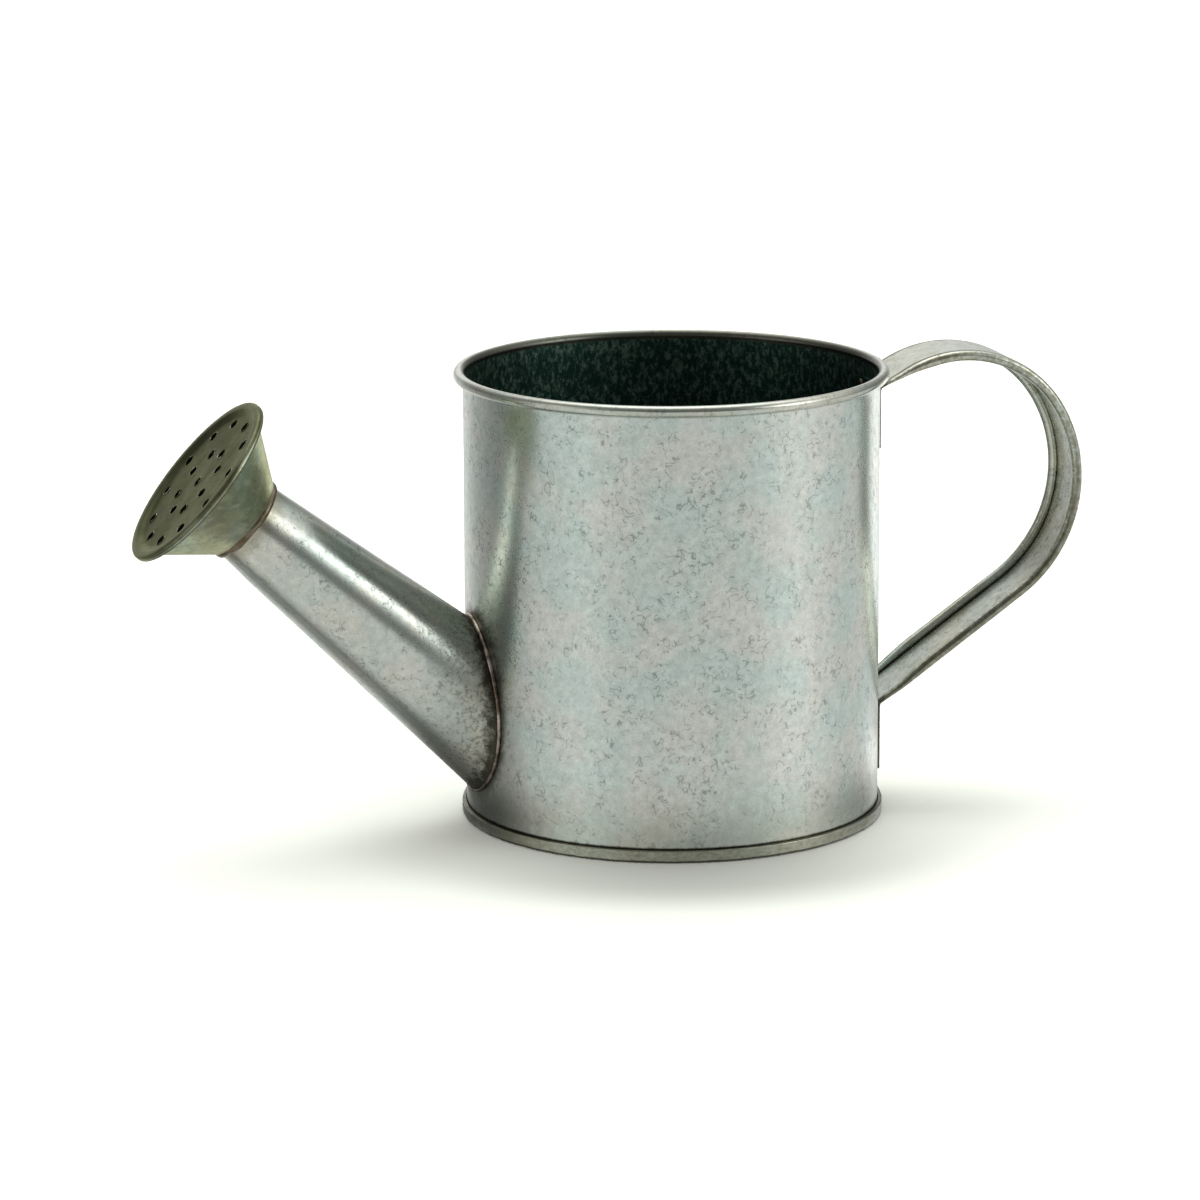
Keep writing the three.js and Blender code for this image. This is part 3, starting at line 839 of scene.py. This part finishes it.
outer_skin = tube_skin(0.0, WALL_R + 0.05 * MM)
inner_skin = tube_skin(-SHEET, WALL_R - 0.3 * MM)
points = np.vstack([outer_skin, inner_skin.reshape(tube_rows, -1, 3)[::-1].reshape(-1, 3)])
points = uneven(points, 0.07 * MM, 22 * MM, seed=4.4)
points = uneven(points, 0.02 * MM, 6 * MM, seed=9.2)
faces = grid_faces(2 * tube_rows, len(tube_angles), True)
make_piece(
    "spout_skin", mesh_from(in_spout_frame(points), faces), spout_finish, ["spout_tube"]
)

# %% [markdown]
# ## The solder round the spout's foot
#
# A narrow ridge of solder stands in the corner between the spout and the wall, thicker in some
# places than in others, and it ends below in a short run where it dripped. Its line is the same
# curve in space as the spout's edge. A curve with a bevel would twist along it, so the section
# is placed round the line: one side points away from the spout, the other up it.

# %% Spout solder
BEAD_REACH = 0.60 * MM


def joint_line(angle, clear):
    distance = spout_meets(WALL_R + clear, clear, angle)
    radius = spout_r(distance) + clear
    return Vector((radius * math.cos(angle), radius * math.sin(angle), distance))


points = []
BEAD_STEPS, BEAD_SIDES = 288, 16
for i in range(BEAD_STEPS):
    angle = 2 * math.pi * i / BEAD_STEPS
    heel = math.exp(-((math.pi - angle) / 0.16) ** 2)
    swell = 1 + 0.45 * noise.noise(Vector((math.cos(angle), math.sin(angle), 0.4)) * 2.3)
    swell += 0.16 * noise.noise(Vector((math.cos(angle), math.sin(angle), 2.4)) * 8.0)
    side_heel = 0.5 + 0.5 * math.cos(angle)
    reach = BEAD_REACH * swell * (0.66 + 0.40 * side_heel) * (1 + 0.5 * heel)
    before, centre, after = (joint_line(angle + step, 0.55 * BEAD_REACH) for step in (-0.01, 0, 0.01))
    along = (after - before).normalized()
    outward = Vector((math.cos(angle), math.sin(angle), 0))
    outward = (outward - along * outward.dot(along)).normalized()
    beside = along.cross(outward)
    for k in range(BEAD_SIDES):
        turn = 2 * math.pi * k / BEAD_SIDES
        points.append(centre + outward * reach * math.cos(turn) + beside * reach * math.sin(turn))
points = in_spout_frame(np.array(points))
faces = grid_faces(BEAD_STEPS, BEAD_SIDES, True)
make_piece(
    "spout_solder_bead", mesh_from(points, faces), solder_finish, ["spout_solder"], crease=80
)

# %% [markdown]
# ## The rose's cone
#
# The cone flares straight out from a short collar. Its mouth ends in a flange that the face is
# crimped over. The corner between the collar and the flare is a small radius, because sheet
# never folds to a knife edge.

# %% Rose cone
flare_start = SPOUT_NECK + 0.6 * MM
flare_end = ROSE_MOUTH - SHEET
flare_slope = (ROSE_FLARE_R - ROSE_COLLAR_R) / (flare_end - flare_start)
flange_r = ROSE_FLARE_R + 1.0 * MM
wall_across = SHEET * math.hypot(1, flare_slope)
inner_start = flare_start + (wall_across - SHEET) / flare_slope
inner_end = ROSE_FLARE_R - wall_across + SHEET * flare_slope
bore_r = ROSE_COLLAR_R - SHEET
cone_profile = (
    [(bore_r, SPOUT_NECK), (ROSE_COLLAR_R - 0.06 * MM, SPOUT_NECK), (ROSE_COLLAR_R, flare_start)]
    + run((ROSE_COLLAR_R + 0.1 * MM, flare_start + 0.1 * MM / flare_slope), (ROSE_FLARE_R, flare_end), 20)
    + [(ROSE_FLARE_R, flare_end), (flange_r, flare_end), (flange_r, ROSE_MOUTH)]
    + run((inner_end, ROSE_MOUTH), (bore_r, inner_start), 14)
    + [(bore_r, inner_start)]
)
points, faces = ring_skin(cone_profile, 176)
points = uneven(points, 0.10 * MM, 13 * MM, seed=6.1, along=(1, 1, 0))
make_piece(
    "rose_cone_skin", mesh_from(in_spout_frame(points), faces), rose_finish, ["rose_cone"]
)

# %% [markdown]
# ## The rose's face and its perforations
#
# The face is a pressed disc: flat in the middle, raised to a round crest near its edge, and
# turned down over the cone's flange. The water holes sit in two rings round one in the middle.
# They are punched one by one, so each carries a small burr, a little larger or smaller than the
# next. A geometry tree suits this, because the ring radii and counts stay as named inputs: two
# circles and a point carry the punches, which a Boolean takes out of the disc, and the burrs.

# %% Face disc
crest = ROSE_MOUTH + 0.8 * MM
flat = crest - 1.0 * MM
lip_inner = flange_r + 0.3 * MM
lip_tuck = 0.6 * MM
crest_r = lip_inner - 1.1 * MM
flat_r = lip_inner - 4.0 * MM
slope = [
    (flat_r + (crest_r - flat_r) * t, flat + (crest - flat) * (0.5 - 0.5 * math.cos(math.pi * t)))
    for t in np.linspace(0, 1, 9)
]
under_slope = [(r - 0.12 * MM, z - SHEET) for r, z in slope[::-1]]
face_profile = (
    [(1e-9, flat)]
    + run((4 * MM, flat), (flat_r - 0.5 * MM, flat), 5)
    + slope
    + arc(ROSE_LIP_R - 0.75 * MM, crest - 0.75 * MM, 0.75 * MM, 75, 0, 7)
    + [(ROSE_LIP_R, flare_end + 0.2 * MM)]
    + arc(ROSE_LIP_R - 0.5 * MM, flare_end - 0.05 * MM, 0.5 * MM, 0, -60, 4)
    + [(lip_inner - lip_tuck, flare_end - lip_tuck), (lip_inner, flare_end), (lip_inner, crest - 0.8 * MM)]
    + under_slope
    + [(1e-9, flat - SHEET)]
)
points, faces = ring_skin(face_profile, 176)
face_disc = mesh_from(points, faces)
print("rose face: flat radius", round(flat_r / MM, 2), "crest at", round(crest / MM, 2))

# %% Helpers for geometry trees
def new_tree(name, sizes):
    """A geometry tree with a geometry in and out, and a named number for each size.

    Gives the tree, its geometry, a function from a size's name to its wire, and the identifiers
    that a modifier sets the sizes by.
    """
    tree = bpy.data.node_groups.new(name, "GeometryNodeTree")
    tree.interface.new_socket("Geometry", in_out="INPUT", socket_type="NodeSocketGeometry")
    tree.interface.new_socket("Geometry", in_out="OUTPUT", socket_type="NodeSocketGeometry")
    kinds = {float: "NodeSocketFloat", int: "NodeSocketInt"}
    names = {}
    for label, value in sizes.items():
        socket = tree.interface.new_socket(label, in_out="INPUT", socket_type=kinds[type(value)])
        names[label] = socket.identifier
    graph = Graph(tree)
    given = graph.add("NodeGroupInput")
    return graph, given, given.also, names


def close_tree(graph, geometry, material):
    whole = graph.shape("RealizeInstances", {0: geometry})
    made = graph.shape("SetMaterial", {"Geometry": whole, "Material": material})
    end = graph.tree.nodes.new("NodeGroupOutput")
    graph.feed(end.inputs[0], made)


def grow(mesh, graph, names, sizes):
    """Runs a geometry tree on a mesh, and gives the result back as a plain mesh."""
    holder = add_object("holder", mesh)
    modifier = holder.modifiers.new("tree", "NODES")
    modifier.node_group = graph.tree
    for label, value in sizes.items():
        modifier[names[label]] = value
    made = worked_out(holder)
    print(graph.tree.name, "made", len(made.polygons), "faces")
    return made


# %% Rings of holes
hole_sizes = {
    "Hole radius": 1.32 * MM, "Inner ring radius": 8.8 * MM, "Outer ring radius": 17.3 * MM,
    "Inner ring holes": 8, "Outer ring holes": 12, "First hole turn": math.radians(-97.5),
    "Face height": flat, "Burr radius": 0.09 * MM,
}
graph, disc, size, names = new_tree("rose_perforations", hole_sizes)
turn = graph.add("ShaderNodeCombineXYZ", None, {2: size("First hole turn")})
lift = graph.add("ShaderNodeCombineXYZ", None, {2: size("Face height")})
rings = [graph.shape("Points", {0: 1})]
for ring in ("Inner ring", "Outer ring"):
    circle = {"Vertices": size(ring + " holes"), "Radius": size(ring + " radius")}
    rings.append(graph.shape("MeshCircle", circle))
marks = graph.shape("JoinGeometry")
for ring in rings:
    spots = graph.shape("Transform", {"Geometry": ring, "Rotation": turn, "Translation": lift})
    graph.feed(marks.node.inputs[0], spots)
print("rings of holes:", len(rings))

# %% Punches and burrs
punch = graph.shape("MeshCylinder", {
    "Vertices": 28, "Radius": size("Hole radius"), "Depth": 4 * MM,
})
tilt = graph.add("FunctionNodeRandomValue", {"data_type": "FLOAT_VECTOR"}, {
    0: (-0.09, -0.09, 0.0), 1: (0.09, 0.09, 6.28), "Seed": 11,
})
grade = graph.add("FunctionNodeRandomValue", {"data_type": "FLOAT_VECTOR"}, {
    0: (0.93, 0.93, 1.0), 1: (1.07, 1.07, 1.0), "Seed": 23,
})
punches = graph.shape("InstanceOnPoints", {
    "Points": marks, "Instance": punch, "Rotation": tilt, "Scale": grade,
})
cut_face = graph.add("GeometryNodeMeshBoolean", {"operation": "DIFFERENCE", "solver": "EXACT"}, {
    0: disc, 1: graph.shape("RealizeInstances", {0: punches}),
})
burr_line = graph.shape("CurvePrimitiveCircle", {
    "Resolution": 28, "Radius": size("Hole radius") + size("Burr radius") * 0.9,
})
burr_round = graph.shape("CurvePrimitiveCircle", {
    "Resolution": 8, "Radius": size("Burr radius"),
})
burr = graph.shape("CurveToMesh", {0: burr_line, 1: burr_round})
burrs = graph.shape("InstanceOnPoints", {
    "Points": marks, "Instance": burr, "Rotation": tilt, "Scale": grade,
})
face_and_burrs = graph.shape("JoinGeometry", {0: cut_face})
graph.feed(face_and_burrs.node.inputs[0], graph.shape("RealizeInstances", {0: burrs}))
close_tree(graph, face_and_burrs, rose_finish)
close_up(face_disc)
pierced = grow(face_disc, graph, names, hole_sizes)
pierced.transform(spout_frame)
make_piece("rose_face_pierced", pierced, rose_finish, ["rose_face"], crease=40)

# %% [markdown]
# ## The solder under the rose
#
# The rose is soldered to the spout with a wiped bead that fills the step at the collar. It is
# widest where the iron stopped.

# %% Neck solder
neck_rows = [
    (SPOUT_NECK_R + 0.42 * MM + 0.62 * MM * math.cos(a), SPOUT_NECK + 0.20 * MM + 0.92 * MM * math.sin(a))
    for a in np.linspace(0, 2 * math.pi, 20, endpoint=False)
]
points, faces = ring_skin(neck_rows, 200)
outside = np.hypot(points[:, 0], points[:, 1]) > SPOUT_NECK_R + 0.1 * MM
lumpy = uneven(points, 0.30 * MM, 5 * MM, seed=8.3, along=(0.5, 0.5, 1.0))
points[outside] = lumpy[outside]
neck_mesh = mesh_from(in_spout_frame(points), faces)
make_piece("neck_solder_bead", neck_mesh, solder_finish, ["neck_solder"], crease=80)

# %% [markdown]
# ## The handle
#
# The handle is one strap with both edges rolled in towards the hand, so that nothing sharp
# meets the fingers. At each end the rolls are hammered flat, and the strap turns down along the
# wall as a tab. Its line is two arcs between two straights, worked out as the CAD model does it.
# A geometry tree sweeps the section along the line. Each point of the line carries which way
# the hand is, how far the rolls stand up there, how wide the strap is and how closely it hugs
# the round wall, and the tree sets every swept point from these.

# %% Handle line
STRAP_WIDTH = 19.5 * MM
CURL_R = 1.25 * MM
CURL_TURN = 308
TAB_INNER_R = WALL_R + 0.12 * MM
TAB_FACE_R = WALL_R + 1.1 * MM
UPPER_BEND_Z = can_top - 5.71 * MM
LOWER_BEND_Z = 24.8 * MM
rise, change, fall = (math.radians(v) for v in (31, -57.7, 34.8 - 180))
reach, first_straight = 51.59 * MM, 5.5 * MM


def travel(start, end):
    return np.array([math.sin(start) - math.sin(end), math.cos(end) - math.cos(start)])


def heading_vector(heading):
    return np.array([math.cos(heading), math.sin(heading)])


start = first_straight * heading_vector(rise)
top, grip = travel(rise, change), travel(change, fall)
to_farthest = travel(change, -math.pi / 2)
system = np.array([
    [top[0], to_farthest[0], 0], [top[0], grip[0], math.cos(fall)], [top[1], grip[1], math.sin(fall)],
])
wanted = np.array([reach - start[0], -start[0], LOWER_BEND_Z - UPPER_BEND_Z - start[1]])
top_r, grip_r, last_straight = np.linalg.solve(system, wanted)
print("handle: top arc", round(top_r / MM, 2), "grip arc", round(grip_r / MM, 2))

# %% Handle points
def follow(point, pieces, step=0.7 * MM):
    """Points and headings along straights (length, heading) and arcs (radius, start, end)."""
    points, headings = [np.array(point)], [pieces[0][1]]
    for piece in pieces:
        if len(piece) == 2:
            count = max(2, round(piece[0] / step))
            turns = np.full(count, piece[1])
            lengths = np.full(count, piece[0] / count)
        else:
            count = max(5, round(piece[0] * abs(piece[2] - piece[1]) / step))
            edges = np.linspace(piece[1], piece[2], count + 1)
            turns = (edges[1:] + edges[:-1]) / 2
            lengths = np.full(count, 2 * piece[0] * math.sin(abs(piece[2] - piece[1]) / count / 2))
        for turn_now, length in zip(turns, lengths):
            points.append(points[-1] + heading_vector(turn_now) * length)
            headings.append(turn_now)
    return np.array(points), np.array(headings)


upper_bend_r, lower_bend_r = 2.0 * MM, 1.0 * MM
upper_cut = upper_bend_r * math.tan((math.pi / 2 - rise) / 2)
lower_cut = lower_bend_r * math.tan((fall + math.pi / 2) / -2)
overhang = (TAB_FACE_R - TAB_INNER_R)
upper_corner_z = UPPER_BEND_Z - overhang * math.tan(rise)
upper_tab, lower_tab = 15.3 * MM, 16.2 * MM
line, headings = follow((TAB_INNER_R, UPPER_BEND_Z - 15.7 * MM), [
    (upper_corner_z - upper_cut - (UPPER_BEND_Z - 15.7 * MM), math.pi / 2),
    (upper_bend_r, math.pi / 2, rise),
    (first_straight + overhang / math.cos(rise) - upper_cut, rise),
    (top_r, rise, change), (grip_r, change, fall),
    (last_straight - lower_cut, fall), (lower_bend_r, fall, -math.pi / 2),
    (lower_tab - lower_cut, -math.pi / 2),
])
gone = np.concatenate([[0], np.cumsum(np.hypot(*np.diff(line, axis=0).T))])
total = gone[-1]
print("strap length", round(total / MM, 1), "mm, ends at", np.round(line[-1] / MM, 2))

# %% Handle attributes along the line
def ease(value, low, high):
    t = np.clip((value - low) / (high - low), 0, 1)
    return t * t * (3 - 2 * t)


upper_bend_at, lower_bend_at = 15.5 * MM, total - 16.2 * MM
TAB_DEPTH = 0.34
rolled = ease(gone, upper_bend_at - 1 * MM, upper_bend_at + 15 * MM)
rolled_low = ease(total - gone, total - lower_bend_at - 1 * MM, total - lower_bend_at + 17 * MM)
deepen = TAB_DEPTH + (1 - TAB_DEPTH) * np.minimum(rolled, 0.25 + 0.75 * rolled_low)
deepen[gone > lower_bend_at] = TAB_DEPTH
middle = gone / total
widen = np.interp(middle, [0, 0.12, 0.3, 0.5, 0.72, 0.88, 1], [0.95, 0.945, 0.95, 1.0, 1.05, 1.05, 1.03])
hug = np.maximum(1 - ease(gone, upper_bend_at - 1 * MM, upper_bend_at + 7 * MM),
                 1 - ease(total - gone, total - lower_bend_at - 1 * MM, total - lower_bend_at + 8 * MM))
inward = np.stack([np.sin(headings), np.zeros_like(headings), -np.cos(headings)], axis=1)

section = []
curl_x = STRAP_WIDTH / 2 - CURL_R
section += arc(curl_x, CURL_R, CURL_R, -90, -90 + CURL_TURN, 22)
section += arc(curl_x, CURL_R, CURL_R - SHEET, -90 + CURL_TURN, -90, 18)
section += run((curl_x, SHEET), (-curl_x, SHEET), 9)[1:]
section += arc(-curl_x, CURL_R, CURL_R - SHEET, -90, -90 - CURL_TURN, 18)
section += arc(-curl_x, CURL_R, CURL_R, -90 - CURL_TURN, -90, 22)
section += run((-curl_x, 0), (curl_x, 0), 9)[1:]
line_points = [(x, 0, z) for x, z in line]
section_points = [(x, y, 0) for x, y in section]
count, around = len(line_points), len(section_points)
edges = [(i, i + 1) for i in range(count - 1)]
edges += [(count + i, count + (i + 1) % around) for i in range(around)]
strap_guide = bpy.data.meshes.new("strap_guide")
strap_guide.from_pydata(line_points + section_points, edges, [])


def store(name, values, blank=0.0):
    """Keeps a value at each station of the line, and a blank at each point of the section."""
    kind, field = ("FLOAT_VECTOR", "vector") if values.ndim == 2 else ("FLOAT", "value")
    rest = np.full((around,) + values.shape[1:], blank)
    layer = strap_guide.attributes.new(name, kind, "POINT")
    layer.data.foreach_set(field, np.concatenate([values, rest]).ravel())


store("is_section", np.zeros(count), 1.0)
store("inward", inward)
station_values = {"deepen": deepen, "widen": widen, "hug": hug}
for name, values in station_values.items():
    store(name, values)
print("strap guide:", count, "stations of", around, "points")

# %% Strap tree
strap_sizes = {"Wall radius": WALL_R, "Roll height": 1.0, "Strap breadth": 1.0}
graph, guide, size, names = new_tree("strap_sweep", strap_sizes)


def named(label, kind="FLOAT"):
    return graph.shape("InputNamedAttribute", {"Name": label}, {"data_type": kind})


is_section = graph.add("FunctionNodeCompare", {"operation": "GREATER_THAN"}, {0: named("is_section"), 1: 0.5})
halves = graph.shape("SeparateGeometry", {0: guide, 1: is_section}, {"domain": "POINT"})
section_curve = graph.shape("MeshToCurve", {0: halves})
line_curve = graph.shape("MeshToCurve", {0: halves.also(1)})
where = graph.shape("InputPosition")
kept_section = graph.shape("CaptureAttribute", {0: section_curve, 1: where}, {
    "domain": "POINT", "captured": [("VECTOR", "Place")],
})
kept_line = graph.shape("CaptureAttribute", {0: line_curve, 1: where, 2: named("inward", "FLOAT_VECTOR")}, {
    "domain": "POINT",
    "captured": [("VECTOR", "Place"), ("VECTOR", "Inward")] + [("FLOAT", name) for name in station_values],
})
for place_in_list, name in enumerate(station_values, 3):
    graph.feed(kept_line.node.inputs[place_in_list], named(name))
sweep = graph.shape("CurveToMesh", {0: kept_line, 1: kept_section, "Fill Caps": True})
across = graph.add("ShaderNodeSeparateXYZ", None, {0: kept_section.also(1)})
sideways = across * kept_line.also(4) * size("Strap breadth")
inwards = across.also(1) * kept_line.also(3) * size("Roll height")
sag = sideways * sideways / (size("Wall radius") * -2.0) * kept_line.also(5)
offset = graph.add("ShaderNodeCombineXYZ", None, {0: sag, 1: sideways})
offset = graph.vector("ADD", offset, graph.scaled(kept_line.also(2), inwards))
place = graph.vector("ADD", kept_line.also(1), offset)
shaped = graph.shape("SetPosition", {"Geometry": sweep, "Position": place})
close_tree(graph, shaped, handle_finish)
strap_mesh = grow(strap_guide, graph, names, strap_sizes)
for name in ("is_section", "inward", *station_values):
    if name in strap_mesh.attributes:
        strap_mesh.attributes.remove(strap_mesh.attributes[name])
make_piece(
    "handle_strap_swept", strap_mesh, handle_finish, ["handle_strap"], crease=50
)

# %% [markdown]
# ## Spot welds
#
# Each tab is held by two spot welds, which leave low round buttons on the inside of the wall.
# Four points carry them, each with the way that its button faces, and one squashed ball is set
# on every point.

# %% Welds
weld_sizes = {"Weld radius": 1.4 * MM, "Weld height": 0.42 * MM}
weld_places, weld_facing = [], []
for height in (UPPER_BEND_Z - 2.2 * MM, LOWER_BEND_Z - 8.1 * MM):
    for side in (-1, 1):
        turned = side * 4.75 * MM / WALL_INNER_R
        away = np.array([math.cos(turned), math.sin(turned), 0])
        weld_places.append(away * (WALL_INNER_R + 0.02 * MM) + np.array([0, 0, height]))
        weld_facing.append(-away)
weld_guide = bpy.data.meshes.new("weld_guide")
weld_guide.from_pydata([tuple(p) for p in weld_places], [], [])
facing = weld_guide.attributes.new("facing", "FLOAT_VECTOR", "POINT")
facing.data.foreach_set("vector", np.array(weld_facing).ravel())
graph, places, size, names = new_tree("spot_welds", weld_sizes)
outward = named("facing", "FLOAT_VECTOR")
turn = graph.add("FunctionNodeAlignRotationToVector", {"axis": "Z"}, {"Vector": outward})
ball = graph.shape("MeshUVSphere", {"Segments": 20, "Rings": 10, "Radius": 1.0})
flattened = graph.add("ShaderNodeCombineXYZ", None, {
    0: size("Weld radius"), 1: size("Weld radius"), 2: size("Weld height"),
})
buttons = graph.shape("InstanceOnPoints", {
    "Points": places, "Instance": ball, "Rotation": turn, "Scale": flattened,
})
close_tree(graph, buttons, solder_finish)
weld_mesh = grow(weld_guide, graph, names, weld_sizes)
weld_nodes = ["upper_weld_left", "upper_weld_right", "lower_weld_left", "lower_weld_right"]
make_piece("weld_buttons", weld_mesh, solder_finish, weld_nodes)

# %% [markdown]
# ## Floor
#
# The can stands on a plain white sheet that is wide enough to fill the view. It isn't part of
# the object, so it is staged. Half-polished metal is lit by what it reflects, so the metal looks
# through the sheet to the studio below it, whose brightness is set by direction. What the sheet
# adds to a reflection is the can's own soft shadow: darker in front, to the left under the spout
# and to the right, and clear between. The foot of the wall mirrors it. The sheet itself is also
# a little darker just in front of the can, which shades it there.

# %% Floor
def toward(azimuth, height=0.0):
    """A direction seen from the can: 0 degrees is towards the camera, 90 to the camera's right."""
    a, h = math.radians(azimuth), math.radians(height)
    level = -view_away * math.cos(a) + view_right * math.sin(a)
    return tuple(level * math.cos(h) + Vector((0, 0, math.sin(h))))


def band(graph, level, azimuth, sharpness):
    """1 in one upright plane, falling away to both sides. The vector given has no height."""
    along = level.dot(toward(azimuth)) / level.length().at_least(0.001)
    return ((along - 1) * sharpness).exp()


floor_mesh = mesh_from([(-9, -9, 0), (9, -9, 0), (9, 9, 0), (-9, 9, 0)], [(0, 1, 2, 3)])
floor_material = bpy.data.materials.new("white paper")
floor_material.use_nodes = True
paper = floor_material.node_tree.nodes["Principled BSDF"]
paper.inputs["Roughness"].default_value = 0.9
paper.inputs["Specular IOR Level"].default_value = 0.1
graph = Graph(floor_material.node_tree)
spread = graph.vector("MULTIPLY", graph.add("ShaderNodeTexCoord", output="Object"), (1, 1, 0))
paper_tone = graph.noise(spread, 4.0, 2.0).smooth(0.3, 0.7)
paper_skin = graph.mix(paper_tone, (0.79, 0.81, 0.745), (0.80, 0.82, 0.76))
reach_out = spread.length() / MM
in_front = band(graph, spread, 4, 2.6) * reach_out.smooth(98.0, 70.0)
graph.feed(paper.inputs["Base Color"], paper_skin.with_stains_and_shade((in_front * 0.36, (0.02, 0.02, 0.015))))

# %% The can's shadow, as its own wall mirrors it
lobes = band(graph, spread, 7, 8) * 0.42 + band(graph, spread, -85, 10) * 0.74
lobes = lobes + band(graph, spread, 88, 8) * 0.55
near_shade = lobes * reach_out.smooth(100.0, 66.0)
far_shade = band(graph, spread, 133, 40) * reach_out.smooth(90.0, 110.0) * reach_out.smooth(260.0, 215.0)
mirrored = 1 - near_shade - far_shade * 0.48
see_through = graph.add("ShaderNodeBsdfTransparent", None, {0: mirrored.at_least(0.1)})
glossy_ray = graph.add("ShaderNodeLightPath", output="Is Glossy Ray")
mixed = graph.add("ShaderNodeMixShader", None, {0: glossy_ray, 2: see_through})
floor_material.node_tree.links.new(paper.outputs[0], mixed.node.inputs[1])
floor_material.node_tree.links.new(mixed.socket, floor_material.node_tree.nodes["Material Output"].inputs[0])
floor_mesh.materials.append(floor_material)
floor = add_object("floor", floor_mesh)
floor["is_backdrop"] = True
print("floor staged")

# %% [markdown]
# ## The studio
#
# A satin metal can shows its surroundings as soft bands, so the studio is written as a round
# room in which each direction has its own brightness. Below the can's own level it is the pale
# table, brighter to the right of the camera and at the left, with a dark gap between. Above, it
# is a dim room with one large soft box at the right and a bright backdrop high behind the can.
# Directions are given as seen from the can: 0 degrees is towards the camera, and 90 is to its
# right. The white paper doesn't need these bands, so it gets even light of its own.

# %% Studio
world = bpy.data.worlds.new("studio")
bpy.context.scene.world = world
world.use_nodes = True
world.node_tree.nodes.clear()
graph = Graph(world.node_tree)
direction = graph.add("ShaderNodeTexCoord", output="Generated")
height = direction.dot((0, 0, 1))
level = graph.vector("MULTIPLY", direction, (1, 1, 0))


def spot(azimuth, rise, sharpness):
    """1 in one direction, falling away all round."""
    return ((direction.dot(toward(azimuth, rise)) - 1) * sharpness).exp()


above = height.smooth(-0.05, 0.06)
table = 0.76 + band(graph, level, 72, 16) * 0.26 + band(graph, level, -50, 34) * 0.13
table = table - band(graph, level, -108, 24) * 0.42 - band(graph, level, -132, 20) * 0.26
table = table + band(graph, level, 152, 34) * 0.72 + band(graph, level, -162, 30) * 0.18
table = table * (1 - height.smooth(-0.70, -0.98) * 0.15)
room = 0.19 + spot(68, 21, 34) * 3.1 + spot(95, 31, 12) * 0.70 + spot(-62, 12, 16) * 0.65
room = room + spot(180, 68, 8.0) * 2.4 + spot(-166, 15, 45) * 0.75 + spot(177, 8, 45) * 0.65
room = room + spot(-146, 2, 60) * 0.45
brightness = table * (1 - above) + room * above
paper_light = 0.92 + spot(180, 66, 14) * 8.5
rays = graph.add("ShaderNodeLightPath", output="Is Diffuse Ray")
brightness = brightness.at_least(0.02) * (1 - rays) + rays * paper_light
backdrop = graph.add("ShaderNodeBackground", None, {0: (1.0, 1.0, 0.985, 1.0), 1: brightness})
end = graph.tree.nodes.new("ShaderNodeOutputWorld")
graph.feed(end.inputs[0], backdrop)
bpy.context.scene.view_settings.view_transform = "Standard"
print("studio:", len(graph.tree.nodes), "nodes")

low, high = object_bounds()
print("visual box (mm):", [[round(v / MM, 1) for v in corner] for corner in (low, high)])
